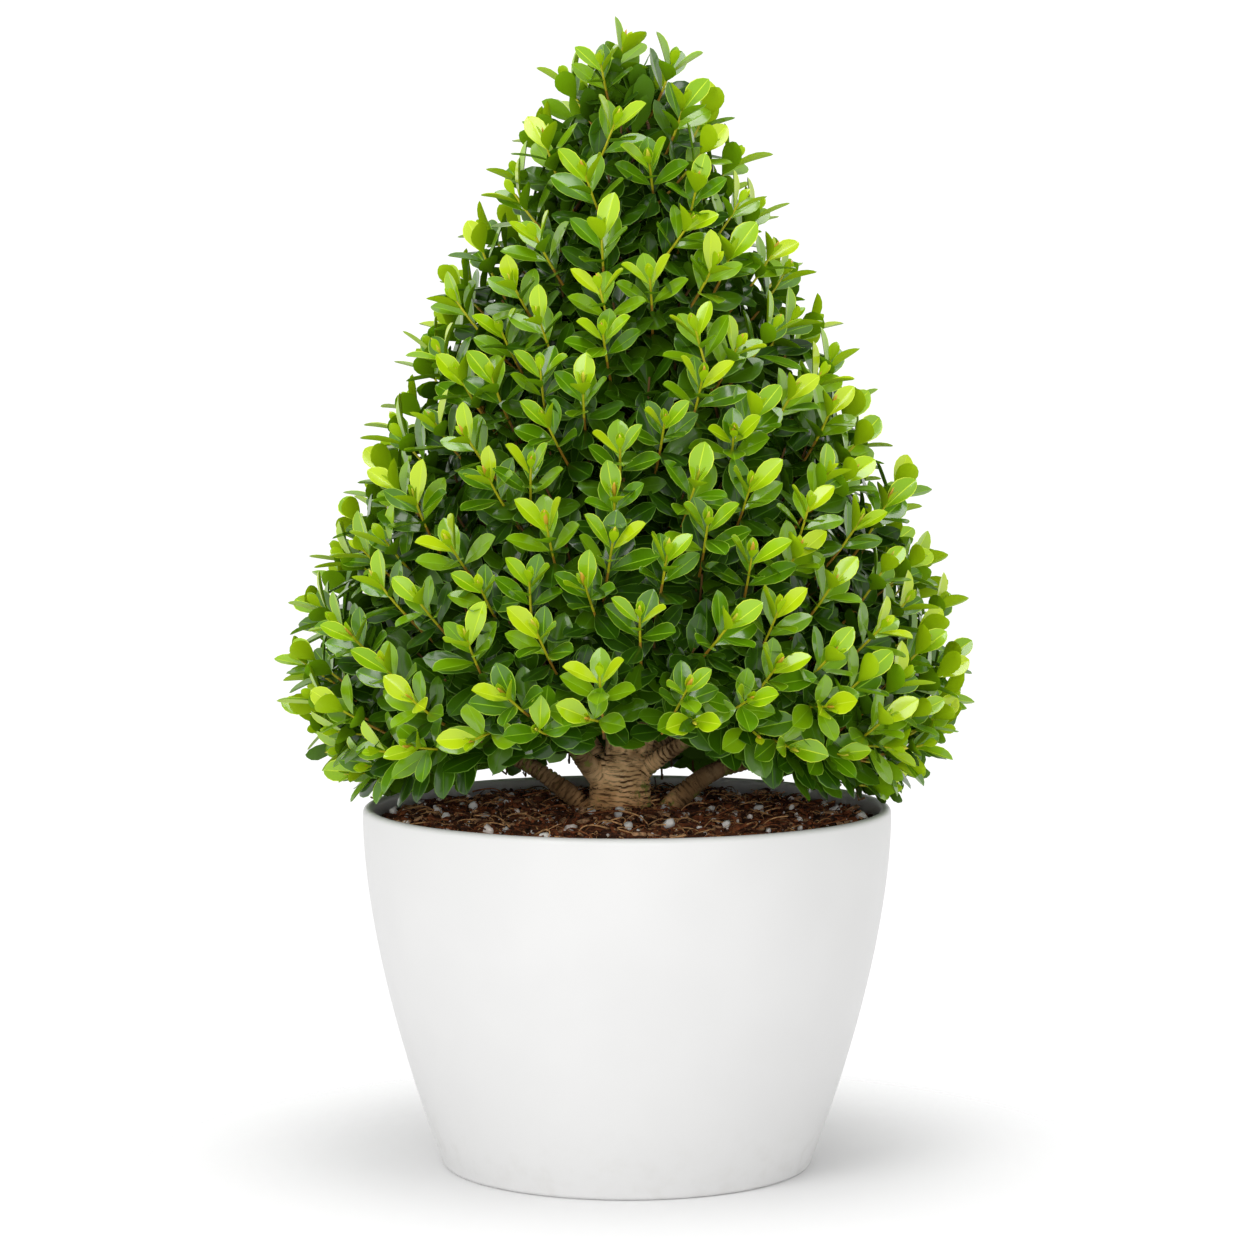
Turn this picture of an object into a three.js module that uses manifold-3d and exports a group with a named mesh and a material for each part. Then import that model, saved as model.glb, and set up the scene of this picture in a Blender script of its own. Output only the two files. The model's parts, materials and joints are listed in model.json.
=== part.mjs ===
// Boxwood cone topiary in a round planter. Millimetres, +Z up, front towards -Y.
// The origin is the centre of the planter's flat underside.

import * as THREE from 'three';
import { mergeVertices } from 'three/addons/utils/BufferGeometryUtils.js';
import Module from 'manifold-3d';

// ---- Driving dimensions -------------------------------------------------

const GAP = 0.35; // clearance between pieces that touch

const POT_HEIGHT = 198;
const POT_RADIUS = 145; // outside, just under the rim
const POT_BULGE_HEIGHT = 190; // where the outside reaches its full radius
const POT_TAPER = 42.4; // how far the side draws in down to the foot
const POT_TAPER_POWER = 1.92; // above 1 makes the side convex
const POT_WALL = 6;
const POT_FLOOR = 7;
const POT_FOOT_FILLET = 3.5;
const POT_SEGMENTS = 52;
const POT_SIDE_STEPS = 7;
const RIM_STEPS = 6;

const SOIL_EDGE_HEIGHT = 189; // at the planter's wall
const SOIL_HEIGHT = 196; // the flat middle that the stems rise from
const SOIL_FLAT_RADIUS = 34;
const SOIL_SEGMENTS = 40;
const SOIL_SIDE_STEPS = 5;
const SOIL_CLEARANCE = 1; // from the planter's wall, which the faceting narrows

const TRUNK_X = -4.6;
const TRUNK_RADIUS = 15.6;
const TRUNK_TOP = 229; // the saddle of the fork
const TRUNK_LEAN = 1.4; // sideways, over the whole height
const ROOT_FLARE = 3.4; // extra radius at the soil
const ROOT_FLARE_FADE = 7; // height over which the flare dies away
const ROOT_LOBES = 5;
const TRUNK_SIDES = 24;
const TRUNK_RINGS = 9;
const TRUNK_SHOULDERS = 1.1; // how far the sides swell below the fork
const TRUNK_CLOSING = 0.72; // share of the height above which the top rounds over
const TRUNK_CLOSED = 1.02; // share of the height where it would close

const CROWN_TOP = 628;
const CROWN_RADIUS = 187; // at the widest, just above the skirt
const CROWN_SKIRT_HEIGHT = 204; // lowest edge of the foliage
const CROWN_DOME_HEIGHT = 268; // roof of the hollow under the foliage
const FRONT_ARCH_LIFT = 40; // how far the skirt is raised over the trunk at the front
const FRONT_ARCH_WIDTH = 0.66; // radians from the middle of the arch to its side
const FRONT_ARCH_FADE = 60; // height over which the lift dies away up the crown
const CROWN_SECTORS = 48;
const CROWN_OUTER_STEPS = 24;
const CROWN_UNDER_STEPS = 8;
const CROWN_UNEVENNESS = 3; // height of its lumps
const CROWN_EVEN_RADIUS = 50; // nearer the axis than this the lumps die away

const LIMB_SIDES = 10;
const LIMB_STEPS = 9;

const COLOUR = {
  pot: 0xf4f4f3,
  soil: 0x3f2618,
  bark: 0x8a6a4c,
  foliage: 0x4f8f1f,
};

const FRONT = -Math.PI / 2;

const wasm = await Module();
wasm.setup();

// ---- Meshes and solids ---------------------------------------------------

function closedGeometry(positions, triangles) {
  const geometry = new THREE.BufferGeometry();
  geometry.setAttribute('position', new THREE.Float32BufferAttribute(positions, 3));
  geometry.setIndex(triangles);
  return geometry;
}

function welded(geometry) {
  const plain = geometry.clone();
  plain.deleteAttribute('normal');
  plain.deleteAttribute('uv');
  return mergeVertices(plain, 1e-4);
}

function toSolid(geometry) {
  const plain = welded(geometry);
  const mesh = new wasm.Mesh({
    numProp: 3,
    vertProperties: new Float32Array(plain.attributes.position.array),
    triVerts: new Uint32Array(plain.index.array),
  });
  return new wasm.Manifold(mesh);
}

function fromSolid(solid) {
  const mesh = solid.getMesh();
  return closedGeometry(Array.from(mesh.vertProperties), Array.from(mesh.triVerts));
}

function largestPiece(solid) {
  const pieces = solid.decompose();
  return pieces.reduce((best, piece) => (piece.volume() > best.volume() ? piece : best));
}

// A closed skin over rings of points that share one count, with a fan at each end. The
// cells are halved one way and the other in turn, so the facets show no twist.
function skinRings(rings, startCentre, endCentre) {
  const count = rings[0].length;
  const positions = rings.flat().flatMap((point) => point.toArray());
  const triangles = [];
  for (let ring = 0; ring + 1 < rings.length; ring += 1) {
    for (let side = 0; side < count; side += 1) {
      const next = (side + 1) % count;
      const a = ring * count + side;
      const b = ring * count + next;
      if ((ring + side) % 2) {
        triangles.push(a, b, b + count, a, b + count, a + count);
      } else {
        triangles.push(a, b, a + count, b, b + count, a + count);
      }
    }
  }
  const start = rings.length * count;
  const end = start + 1;
  positions.push(...startCentre.toArray(), ...endCentre.toArray());
  const last = (rings.length - 1) * count;
  for (let side = 0; side < count; side += 1) {
    const next = (side + 1) % count;
    triangles.push(start, next, side, end, last + side, last + next);
  }
  return closedGeometry(positions, triangles);
}

// ---- Planter and soil ----------------------------------------------------

function potOuterRadius(height) {
  const below = Math.max(0, 1 - height / POT_BULGE_HEIGHT);
  return POT_RADIUS - POT_TAPER * below ** POT_TAPER_POWER;
}

function arcPoints(centreX, centreY, radius, from, to, steps) {
  const points = [];
  for (let step = 0; step <= steps; step += 1) {
    const angle = THREE.MathUtils.lerp(from, to, step / steps);
    points.push(
      new THREE.Vector2(centreX + radius * Math.cos(angle), centreY + radius * Math.sin(angle)),
    );
  }
  return points;
}

function lathe(profile, segments) {
  const geometry = new THREE.LatheGeometry(profile, segments);
  geometry.rotateX(Math.PI / 2);
  return geometry;
}

function sidePoints(from, to, inset, steps) {
  const points = [];
  for (let step = 0; step <= steps; step += 1) {
    const height = THREE.MathUtils.lerp(from, to, step / steps);
    points.push(new THREE.Vector2(potOuterRadius(height) - inset, height));
  }
  return points;
}

function potProfile() {
  const footRadius = potOuterRadius(POT_FOOT_FILLET);
  const foot = arcPoints(
    footRadius - POT_FOOT_FILLET, POT_FOOT_FILLET, POT_FOOT_FILLET, -Math.PI / 2, -0.3, 3,
  );
  const rimRadius = POT_WALL / 2;
  const rimHeight = POT_HEIGHT - rimRadius;
  const rim = arcPoints(POT_RADIUS - rimRadius, rimHeight, rimRadius, 0, Math.PI, RIM_STEPS);
  const outside = sidePoints(POT_FOOT_FILLET + 2, POT_BULGE_HEIGHT, 0, POT_SIDE_STEPS);
  const inside = sidePoints(POT_FLOOR, POT_BULGE_HEIGHT, POT_WALL, SOIL_SIDE_STEPS).reverse();
  return [
    new THREE.Vector2(0, 0), ...foot, ...outside, ...rim, ...inside, new THREE.Vector2(0, POT_FLOOR),
  ];
}

function soilProfile() {
  const inset = POT_WALL + SOIL_CLEARANCE;
  const side = sidePoints(POT_FLOOR + GAP, SOIL_EDGE_HEIGHT, inset, SOIL_SIDE_STEPS);
  const edgeRadius = side[side.length - 1].x;
  const shoulder = THREE.MathUtils.lerp(SOIL_FLAT_RADIUS, edgeRadius, 0.5);
  const shoulderHeight = THREE.MathUtils.lerp(SOIL_HEIGHT, SOIL_EDGE_HEIGHT, 0.3);
  return [
    new THREE.Vector2(0, POT_FLOOR + GAP),
    ...side,
    new THREE.Vector2(shoulder, shoulderHeight),
    new THREE.Vector2(SOIL_FLAT_RADIUS, SOIL_HEIGHT),
    new THREE.Vector2(0, SOIL_HEIGHT),
  ];
}

// ---- Trunk ---------------------------------------------------------------

function trunkRadius(height, angle) {
  const rise = height - SOIL_HEIGHT;
  const flare = ROOT_FLARE * Math.exp(-rise / ROOT_FLARE_FADE);
  const lobes = 0.5 + 0.5 * Math.cos(ROOT_LOBES * angle + 0.7);
  const along = rise / (TRUNK_TOP - SOIL_HEIGHT);
  const shoulders = TRUNK_SHOULDERS * Math.sin(Math.PI * along) * Math.cos(2 * angle);
  const over = Math.max(0, (along - TRUNK_CLOSING) / (TRUNK_CLOSED - TRUNK_CLOSING));
  const closing = Math.sqrt(Math.max(0, 1 - over ** 2));
  return (TRUNK_RADIUS + flare * (0.4 + lobes) + shoulders) * closing;
}

function trunkGeometry(grow) {
  const bottom = SOIL_HEIGHT + GAP - grow;
  const top = TRUNK_TOP + grow;
  const rings = [];
  for (let ring = 0; ring <= TRUNK_RINGS; ring += 1) {
    const height = THREE.MathUtils.lerp(bottom, top - 1, ring / TRUNK_RINGS);
    const lean = (TRUNK_LEAN * (height - SOIL_HEIGHT)) / (TRUNK_TOP - SOIL_HEIGHT);
    const points = [];
    for (let side = 0; side < TRUNK_SIDES; side += 1) {
      const angle = (2 * Math.PI * side) / TRUNK_SIDES;
      const radius = trunkRadius(height - grow, angle) + grow;
      points.push(
        new THREE.Vector3(
          TRUNK_X + lean + radius * Math.cos(angle), radius * Math.sin(angle), height,
        ),
      );
    }
    rings.push(points);
  }
  return skinRings(
    rings,
    new THREE.Vector3(TRUNK_X, 0, bottom),
    new THREE.Vector3(TRUNK_X + TRUNK_LEAN, 0, top),
  );
}

// ---- Boughs --------------------------------------------------------------

// Each bough: where it springs from, the bends it passes, and its two radii.
const BOUGHS = {
  leader_bough: { radii: [9.5, 6.5], path: [[-4, 0, 214], [-3, 1, 238], [1, 3, 262], [4, 4, 290]] },
  upright_bough: { radii: [6.6, 4.6], path: [[5, 4, 212], [10, 6, 236], [16, 9, 258], [22, 12, 284]] },
  front_left_bough: {
    radii: [6.8, 3.6], path: [[-12, -4, 210], [-23, -15, 224], [-33, -27, 241], [-43, -42, 262]],
  },
  front_right_bough: {
    radii: [5.8, 3.4], path: [[4, -3, 213], [18, -9, 225], [32, -17, 235], [52, -32, 252]],
  },
  back_left_bough: {
    radii: [7, 4], path: [[-10, 5, 212], [-20, 20, 228], [-32, 38, 244], [-46, 56, 266]],
  },
  back_right_bough: {
    radii: [6.6, 4], path: [[3, 6, 212], [16, 22, 228], [32, 38, 244], [48, 54, 266]],
  },
  low_left_bough: {
    radii: [7.2, 4.2], path: [[-17, 6, 190], [-34, 8, 205], [-50, 11, 216], [-72, 15, 227], [-104, 20, 240]],
  },
  low_right_bough: {
    radii: [8, 4.2], path: [[18, 3, 190], [34, 5, 206], [49, 7, 216], [70, 9, 222], [106, 12, 238]],
  },
  low_back_bough: {
    radii: [7.4, 4.2], path: [[0, 15, 190], [3, 30, 206], [6, 48, 218], [10, 72, 228], [14, 104, 242]],
  },
};

function limbGeometry({ radii, path }, grow) {
  const curve = new THREE.CatmullRomCurve3(path.map((point) => new THREE.Vector3(...point)));
  const frames = curve.computeFrenetFrames(LIMB_STEPS, false);
  const rings = [];
  for (let step = 0; step <= LIMB_STEPS; step += 1) {
    const along = step / LIMB_STEPS;
    const centre = curve.getPointAt(along);
    const radius = THREE.MathUtils.lerp(radii[0], radii[1], along) + grow;
    const points = [];
    for (let side = 0; side < LIMB_SIDES; side += 1) {
      const angle = (2 * Math.PI * side) / LIMB_SIDES;
      const out = frames.normals[step].clone().multiplyScalar(radius * Math.cos(angle));
      out.addScaledVector(frames.binormals[step], radius * Math.sin(angle));
      points.push(out.add(centre));
    }
    rings.push(points);
  }
  return skinRings(
    rings,
    curve.getPointAt(0).addScaledVector(frames.tangents[0], -grow),
    curve.getPointAt(1).addScaledVector(frames.tangents[LIMB_STEPS], grow),
  );
}

// ---- Crown ---------------------------------------------------------------

// Half outlines as radius and height. The flank runs from the tip down to the skirt's
// edge, and the underside from there to the roof of the hollow.
const FLANK = new THREE.SplineCurve([
  new THREE.Vector2(4, CROWN_TOP - 1),
  new THREE.Vector2(24, CROWN_TOP - 18),
  new THREE.Vector2(60, 556),
  new THREE.Vector2(99, 480),
  new THREE.Vector2(139, 400),
  new THREE.Vector2(169, 330),
  new THREE.Vector2(CROWN_RADIUS - 2, 288),
  new THREE.Vector2(CROWN_RADIUS - 1, 252),
  new THREE.Vector2(171, 224),
  new THREE.Vector2(150, CROWN_SKIRT_HEIGHT),
]);
const UNDERSIDE = new THREE.SplineCurve([
  new THREE.Vector2(150, CROWN_SKIRT_HEIGHT),
  new THREE.Vector2(121, 213),
  new THREE.Vector2(88, 237),
  new THREE.Vector2(56, 257),
  new THREE.Vector2(6, CROWN_DOME_HEIGHT),
]);

// Lumps about as wide as a few shoots. Waves round the crown are crossed with waves up it,
// so the lumps lie scattered and don't wind round the cone.
function unevenness(angle, height) {
  const broad = Math.sin(4 * angle + 0.6) * Math.sin(height / 26 + 1.9);
  const middle = Math.sin(7 * angle + 2.1) * Math.cos(height / 15);
  const fine = Math.cos(10 * angle + 4.1) * Math.sin(height / 11 + 0.8);
  return CROWN_UNEVENNESS * (0.9 * broad + 0.8 * middle + 0.7 * fine);
}

function archLift(angle, height) {
  const turn = Math.atan2(Math.sin(angle - FRONT), Math.cos(angle - FRONT)) / FRONT_ARCH_WIDTH;
  const below = CROWN_DOME_HEIGHT - height;
  const low = THREE.MathUtils.clamp(below / FRONT_ARCH_FADE, 0, 1);
  return FRONT_ARCH_LIFT * Math.exp(-turn * turn) * low;
}

function crownGeometry(grow) {
  const outer = FLANK.getSpacedPoints(CROWN_OUTER_STEPS);
  const under = UNDERSIDE.getSpacedPoints(CROWN_UNDER_STEPS).slice(1);
  const profile = [...outer, ...under];
  const rings = profile.map((point, row) => {
    const before = profile[Math.max(0, row - 1)];
    const after = profile[Math.min(profile.length - 1, row + 1)];
    const outward = new THREE.Vector2(before.y - after.y, after.x - before.x).normalize();
    const points = [];
    for (let sector = 0; sector < CROWN_SECTORS; sector += 1) {
      const angle = (2 * Math.PI * sector) / CROWN_SECTORS;
      const fade = Math.min(1, point.x / CROWN_EVEN_RADIUS);
      const push = grow + fade * unevenness(angle, point.y);
      const radius = Math.max(1, point.x + outward.x * push);
      const height = point.y + outward.y * push + archLift(angle, point.y);
      points.push(new THREE.Vector3(radius * Math.cos(angle), radius * Math.sin(angle), height));
    }
    return points;
  });
  const upright = rings.map((points) => points.reverse());
  return skinRings(
    upright,
    new THREE.Vector3(0, 0, CROWN_TOP + grow),
    new THREE.Vector3(0, 0, CROWN_DOME_HEIGHT + 1 - grow),
  );
}

// ---- The assembly --------------------------------------------------------

function named(name, geometry, colour, roughness) {
  const material = new THREE.MeshStandardMaterial({ color: colour, roughness, metalness: 0 });
  const mesh = new THREE.Mesh(geometry, material);
  mesh.name = name;
  return mesh;
}

function boughSolids() {
  const blocked = [
    toSolid(lathe(soilProfile(), SOIL_SEGMENTS)).translate([0, 0, GAP]),
    toSolid(trunkGeometry(GAP)),
    toSolid(crownGeometry(GAP)),
  ];
  return Object.entries(BOUGHS).map(([name, bough]) => {
    let solid = toSolid(limbGeometry(bough, 0));
    blocked.forEach((other) => {
      solid = solid.subtract(other);
    });
    blocked.push(toSolid(limbGeometry(bough, GAP)));
    return [name, fromSolid(largestPiece(solid))];
  });
}

const topiary = new THREE.Group();
topiary.add(named('pot', lathe(potProfile(), POT_SEGMENTS), COLOUR.pot, 0.42));
topiary.add(named('soil', lathe(soilProfile(), SOIL_SEGMENTS), COLOUR.soil, 0.95));
topiary.add(named('trunk', trunkGeometry(0), COLOUR.bark, 0.85));
boughSolids().forEach(([name, geometry]) => {
  topiary.add(named(name, geometry, COLOUR.bark, 0.85));
});
topiary.add(named('clipped_crown', crownGeometry(0), COLOUR.foliage, 0.5));

export default topiary;
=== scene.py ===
import functools
import json
import math
from collections import namedtuple

import bmesh
import bpy
import numpy as np
from bpy.props import (
    FloatProperty,
    FloatVectorProperty,
    IntProperty,
    PointerProperty,
)
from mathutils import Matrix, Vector, noise
from mathutils.bvhtree import BVHTree

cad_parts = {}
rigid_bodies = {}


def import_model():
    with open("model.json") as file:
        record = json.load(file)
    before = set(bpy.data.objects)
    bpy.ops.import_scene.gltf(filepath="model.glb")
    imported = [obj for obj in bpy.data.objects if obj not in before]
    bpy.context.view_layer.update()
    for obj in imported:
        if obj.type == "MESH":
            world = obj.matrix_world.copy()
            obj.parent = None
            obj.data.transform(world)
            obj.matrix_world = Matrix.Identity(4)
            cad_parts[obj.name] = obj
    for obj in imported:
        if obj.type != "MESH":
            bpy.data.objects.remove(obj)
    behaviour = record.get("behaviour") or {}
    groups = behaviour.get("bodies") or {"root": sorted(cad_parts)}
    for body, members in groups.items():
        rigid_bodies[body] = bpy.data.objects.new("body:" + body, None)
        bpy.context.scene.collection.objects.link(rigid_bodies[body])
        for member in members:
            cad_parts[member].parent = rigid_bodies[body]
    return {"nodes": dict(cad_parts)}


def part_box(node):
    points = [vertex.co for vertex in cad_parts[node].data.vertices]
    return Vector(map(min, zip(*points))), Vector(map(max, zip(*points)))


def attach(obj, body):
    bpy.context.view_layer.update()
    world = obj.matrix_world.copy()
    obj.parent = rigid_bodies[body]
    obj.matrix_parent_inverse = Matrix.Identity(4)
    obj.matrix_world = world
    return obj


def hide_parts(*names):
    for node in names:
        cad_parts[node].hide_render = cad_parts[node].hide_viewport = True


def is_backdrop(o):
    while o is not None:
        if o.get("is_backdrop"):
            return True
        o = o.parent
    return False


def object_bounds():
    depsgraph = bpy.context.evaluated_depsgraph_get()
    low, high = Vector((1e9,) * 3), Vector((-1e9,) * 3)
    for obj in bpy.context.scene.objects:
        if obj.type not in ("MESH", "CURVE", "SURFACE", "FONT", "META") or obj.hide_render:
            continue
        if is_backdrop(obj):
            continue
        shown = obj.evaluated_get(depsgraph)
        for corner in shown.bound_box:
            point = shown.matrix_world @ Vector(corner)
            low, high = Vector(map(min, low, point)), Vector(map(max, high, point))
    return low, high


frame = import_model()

bl_info = {
    "name": "Potted Boxwood Cone",
    "version": (1, 0, 0),
    "blender": (4, 5, 0),
    "location": "View3D > Sidebar > Topiary",
    "description": "Grows a clipped boxwood cone in a round planter over its packed frame",
    "category": "Add Mesh",
}

MM = 0.001
UP = np.array([0.0, 0.0, 1.0])
BODY = "root"
CAD_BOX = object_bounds()
RIM_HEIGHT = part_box("pot")[1].z
POT_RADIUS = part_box("pot")[1].x
SOIL_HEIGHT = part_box("soil")[1].z
SOIL_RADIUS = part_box("soil")[1].x
CROWN_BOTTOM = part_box("clipped_crown")[0].z
CROWN_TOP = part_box("clipped_crown")[1].z
CROWN_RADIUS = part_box("clipped_crown")[1].x
# The planter is widest at this height, and the edge of its foot is rounded by this radius.
BULGE_HEIGHT = 0.19
FOOT_FILLET = 3 * MM
# The crown's front is raised in an arch that reaches this far to either side of the trunk.
ARCH_HALF_WIDTH = 90 * MM
# Twigs stay this far inside the crown's outline, and shoots this far above its underside.
TWIG_MARGIN = 10 * MM
SHOOT_CLEARANCE = 4 * MM
# Old leaves may stand this far out of the outline, from this height above the crown's bottom.
OLD_LEAF_REACH = 4 * MM
SKIRT_HEIGHT = 20 * MM
# How many shapes there are of each kind of leaf and bud, what seeds the leaves' shapes, and how
# many shapes there are of each kind of litter.
LEAF_SHAPES = 6
LEAF_SEED = 40
LITTER_SHAPES = 8
# A kind of leaf is split over several pieces so that none has more triangles than this.
LARGEST_PIECE = 190000
# Tones of each kind of leaf, and the share of leaves that differ in tone from their shoot.
LEAF_TONES = 4
ODD_TONE = 0.3
# The share of old leaves that have fallen.
FALLEN = 0.07


# ---- Arrays and vectors ---------------------------------------------------


def unit(vectors):
    """The same directions at length one."""
    vectors = np.asarray(vectors, float)
    length = np.linalg.norm(vectors, axis=-1, keepdims=True)
    return vectors / np.maximum(length, 1e-12)


def square_to(vector, axis):
    """What is left of a vector once its share along a unit axis is taken off, at length one."""
    return unit(vector - axis * np.dot(vector, axis))


def mix(a, b, share):
    """A value part of the way from a to b."""
    return a + (b - a) * share


def hermite(start, start_pull, end, end_pull, count):
    """Points on the smooth curve between two places that leaves and arrives along its pulls."""
    t = np.linspace(0, 1, count)[:, None]
    return (
        (2 * t**3 - 3 * t**2 + 1) * start
        + (t**3 - 2 * t**2 + t) * start_pull
        + (3 * t**2 - 2 * t**3) * end
        + (t**3 - t**2) * end_pull
    )


def node_points(name):
    """Every corner of a CAD node once, in metres."""
    mesh = frame["nodes"][name].data
    places = np.empty(len(mesh.vertices) * 3)
    mesh.vertices.foreach_get("co", places)
    return np.unique(places.reshape(-1, 3).round(6), axis=0)


def foliage():
    """The sizes that the panel gives for the foliage."""
    return bpy.context.scene.topiary_foliage


def growth_rng(step):
    """The random numbers of one step of the growth."""
    return np.random.default_rng(foliage().seed + step)


def fractal(place, octaves):
    """Layered noise between about -1 and 1."""
    total = 0.0
    for octave in range(octaves):
        total += noise.noise(Vector(place) * 2.0**octave) / 2.0**octave
    return total


# ---- Objects and pieces ---------------------------------------------------


def add_object(name, data):
    """A new object in the scene, at the origin."""
    made = bpy.data.objects.new(name, data)
    bpy.context.scene.collection.objects.link(made)
    return made


def mesh_object(name, places, faces, smooth=True):
    """An object at the origin whose place is in its mesh."""
    mesh = bpy.data.meshes.new(name)
    mesh.from_pydata([tuple(p) for p in places], [], [tuple(f) for f in faces])
    mesh.update()
    mesh.polygons.foreach_set("use_smooth", [smooth] * len(mesh.polygons))
    return add_object(name, mesh)


def bmesh_object(name, shape):
    """An object made of a bmesh, which is freed."""
    mesh = bpy.data.meshes.new(name)
    shape.to_mesh(mesh)
    shape.free()
    return add_object(name, mesh)


def around(sides):
    """The cosine and sine of each step round a circle."""
    angles = [2 * math.pi * step / sides for step in range(sides)]
    return [(math.cos(angle), math.sin(angle)) for angle in angles]


def ring_places(centre, radius, side, other, sides):
    """Corners round a circle that lies in the plane of two directions."""
    return [centre + radius * (side * east + other * north) for east, north in around(sides)]


def band_faces(first, rings, sides, flip=False):
    """Faces between rings of corners that are numbered on, ring by ring, from the first."""
    faces = []
    for start in range(first, first + (rings - 1) * sides, sides):
        for step in range(sides):
            a, b = start + step, start + (step + 1) % sides
            faces.append((a, a + sides, b + sides, b) if flip else (a, b, b + sides, a + sides))
    return faces


def tube_faces(rings, sides):
    """Faces of a tube that is closed at both ends."""
    last = (rings - 1) * sides
    ends = [tuple(range(sides))[::-1], tuple(range(last, last + sides))]
    return band_faces(0, rings, sides) + ends


def baked_down(host, name):
    """The plain mesh that an object's modifiers give, as a new object. The host goes."""
    bpy.context.view_layer.update()
    graph = bpy.context.evaluated_depsgraph_get()
    mesh = bpy.data.meshes.new_from_object(host.evaluated_get(graph), depsgraph=graph)
    mesh.name = name
    bpy.data.objects.remove(host)
    return add_object(name, mesh)


def drop_attributes(piece):
    """Removes the working attributes that the modifiers left on a piece."""
    attributes = piece.data.attributes
    for name in [a.name for a in attributes if not a.is_internal and not a.is_required]:
        if name not in ("material_index", "sharp_face", "sharp_edge"):
            attributes.remove(attributes[name])


def finish_piece(piece, replaced=()):
    """Puts a piece on the plant's one body and hides the CAD nodes that it stands for."""
    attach(piece, BODY)
    if replaced:
        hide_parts(*replaced)
    return piece


def add_attribute(mesh, name, kind, values):
    """Stores one value for each point of a mesh."""
    layer = mesh.attributes.new(name, kind, "POINT")
    field = "vector" if kind == "FLOAT_VECTOR" else "value"
    layer.data.foreach_set(field, np.asarray(values).ravel())


# ---- Node trees -----------------------------------------------------------


class Socket:
    """An output socket that can be used in sums. Each operator adds its Math node."""

    def __init__(self, graph, output):
        self.graph = graph
        self.output = output

    def _maths(self, operation, first, second=0.0):
        inputs = {0: first, 1: second}
        return self.graph.node("ShaderNodeMath", {"operation": operation}, inputs)

    def __add__(self, other):
        return self._maths("ADD", self, other)

    def __sub__(self, other):
        return self._maths("SUBTRACT", self, other)

    def __rsub__(self, other):
        return self._maths("SUBTRACT", other, self)

    def __mul__(self, other):
        return self._maths("MULTIPLY", self, other)

    def __pow__(self, other):
        return self._maths("POWER", self, other)

    def __eq__(self, other):
        return self._maths("COMPARE", self, other)

    def above(self, other):
        """1 where this is the greater of the two, and 0 elsewhere."""
        return self._maths("GREATER_THAN", self, other)

    def between(self, low, high):
        """A smooth step from 0 at low to 1 at high."""
        settings = {"interpolation_type": "SMOOTHSTEP"}
        inputs = {"Value": self, "From Min": low, "From Max": high}
        return self.graph.node("ShaderNodeMapRange", settings, inputs)

    __radd__ = __add__
    __rmul__ = __mul__


class Graph:
    """Adds nodes to a shader or geometry tree."""

    def __init__(self, tree):
        self.tree = tree
        tree.nodes.clear()

    def node(self, kind, settings=None, inputs=None, output=0):
        """A node of a type, with its settings, then the values or links of its inputs."""
        made = self.tree.nodes.new(kind)
        for name, value in (settings or {}).items():
            if name == "stops":
                self._stops(made.color_ramp, value)
            else:
                setattr(made, name, value)
        for name, value in (inputs or {}).items():
            self.feed(made.inputs[name], value)
        return Socket(self, made.outputs[output]) if made.outputs else None

    def feed(self, target, value):
        """Links or sets an input."""
        if isinstance(value, Socket):
            self.tree.links.new(value.output, target)
        else:
            target.default_value = value

    @staticmethod
    def _stops(ramp, stops):
        while len(ramp.elements) < len(stops):
            ramp.elements.new(0.5)
        for element, (position, colour) in zip(ramp.elements, stops, strict=True):
            element.position = position
            element.color = (*colour, 1)

    def noise(self, where, scale, detail=3.0, roughness=0.55, distortion=0.0):
        """Layered noise from 0 to 1."""
        inputs = {
            "Vector": where,
            "Scale": scale,
            "Detail": detail,
            "Roughness": roughness,
            "Distortion": distortion,
        }
        return self.node("ShaderNodeTexNoise", None, inputs)

    def blend(self, share, first, second):
        """A colour between two others."""
        inputs = {"Factor": share, 6: first, 7: second}
        return self.node("ShaderNodeMix", {"data_type": "RGBA"}, inputs, output=2)

    def length(self, where):
        """How far a place lies from the middle."""
        settings = {"operation": "LENGTH"}
        return self.node("ShaderNodeVectorMath", settings, {0: where}, output="Value")

    def height(self, where):
        """How high a place lies."""
        return self.node("ShaderNodeSeparateXYZ", None, {0: where}, output=2)

    def attribute(self, name, kind="FLOAT"):
        """A stored value, in a geometry tree."""
        settings = {"data_type": kind}
        return self.node("GeometryNodeInputNamedAttribute", settings, {"Name": name})

    def instances(self, points, shapes, index, rotation, scale):
        """Sets one shape of a collection on every point, in a geometry tree."""
        inputs = {"Collection": shapes, "Separate Children": True, "Reset Children": True}
        picked = self.node("GeometryNodeCollectionInfo", None, inputs)
        inputs = {
            "Points": points,
            "Instance": picked,
            "Pick Instance": True,
            "Instance Index": index,
            "Rotation": rotation,
            "Scale": scale,
        }
        return self.node("GeometryNodeInstanceOnPoints", None, inputs)

    def painted(self, geometry, chosen, material):
        """Gives the chosen faces a material, in a geometry tree."""
        inputs = {"Geometry": geometry, "Selection": chosen, "Material": material}
        return self.node("GeometryNodeSetMaterial", None, inputs)

    def ended(self, geometry):
        """Ends a geometry tree."""
        self.node("NodeGroupOutput", None, {"Geometry": geometry})
        return self.tree


def srgb(red, green, blue):
    """The linear colour of a screen colour given as 0 to 255."""
    values = []
    for part in (red, green, blue):
        share = part / 255
        values.append(share / 12.92 if share <= 0.04045 else ((share + 0.055) / 1.055) ** 2.4)
    return tuple(values)


def rgba(colour, share=1.0):
    """A colour for a socket, or a share of its brightness."""
    return (*[part * share for part in colour[:3]], 1.0)


# ---- Materials ------------------------------------------------------------


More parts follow.
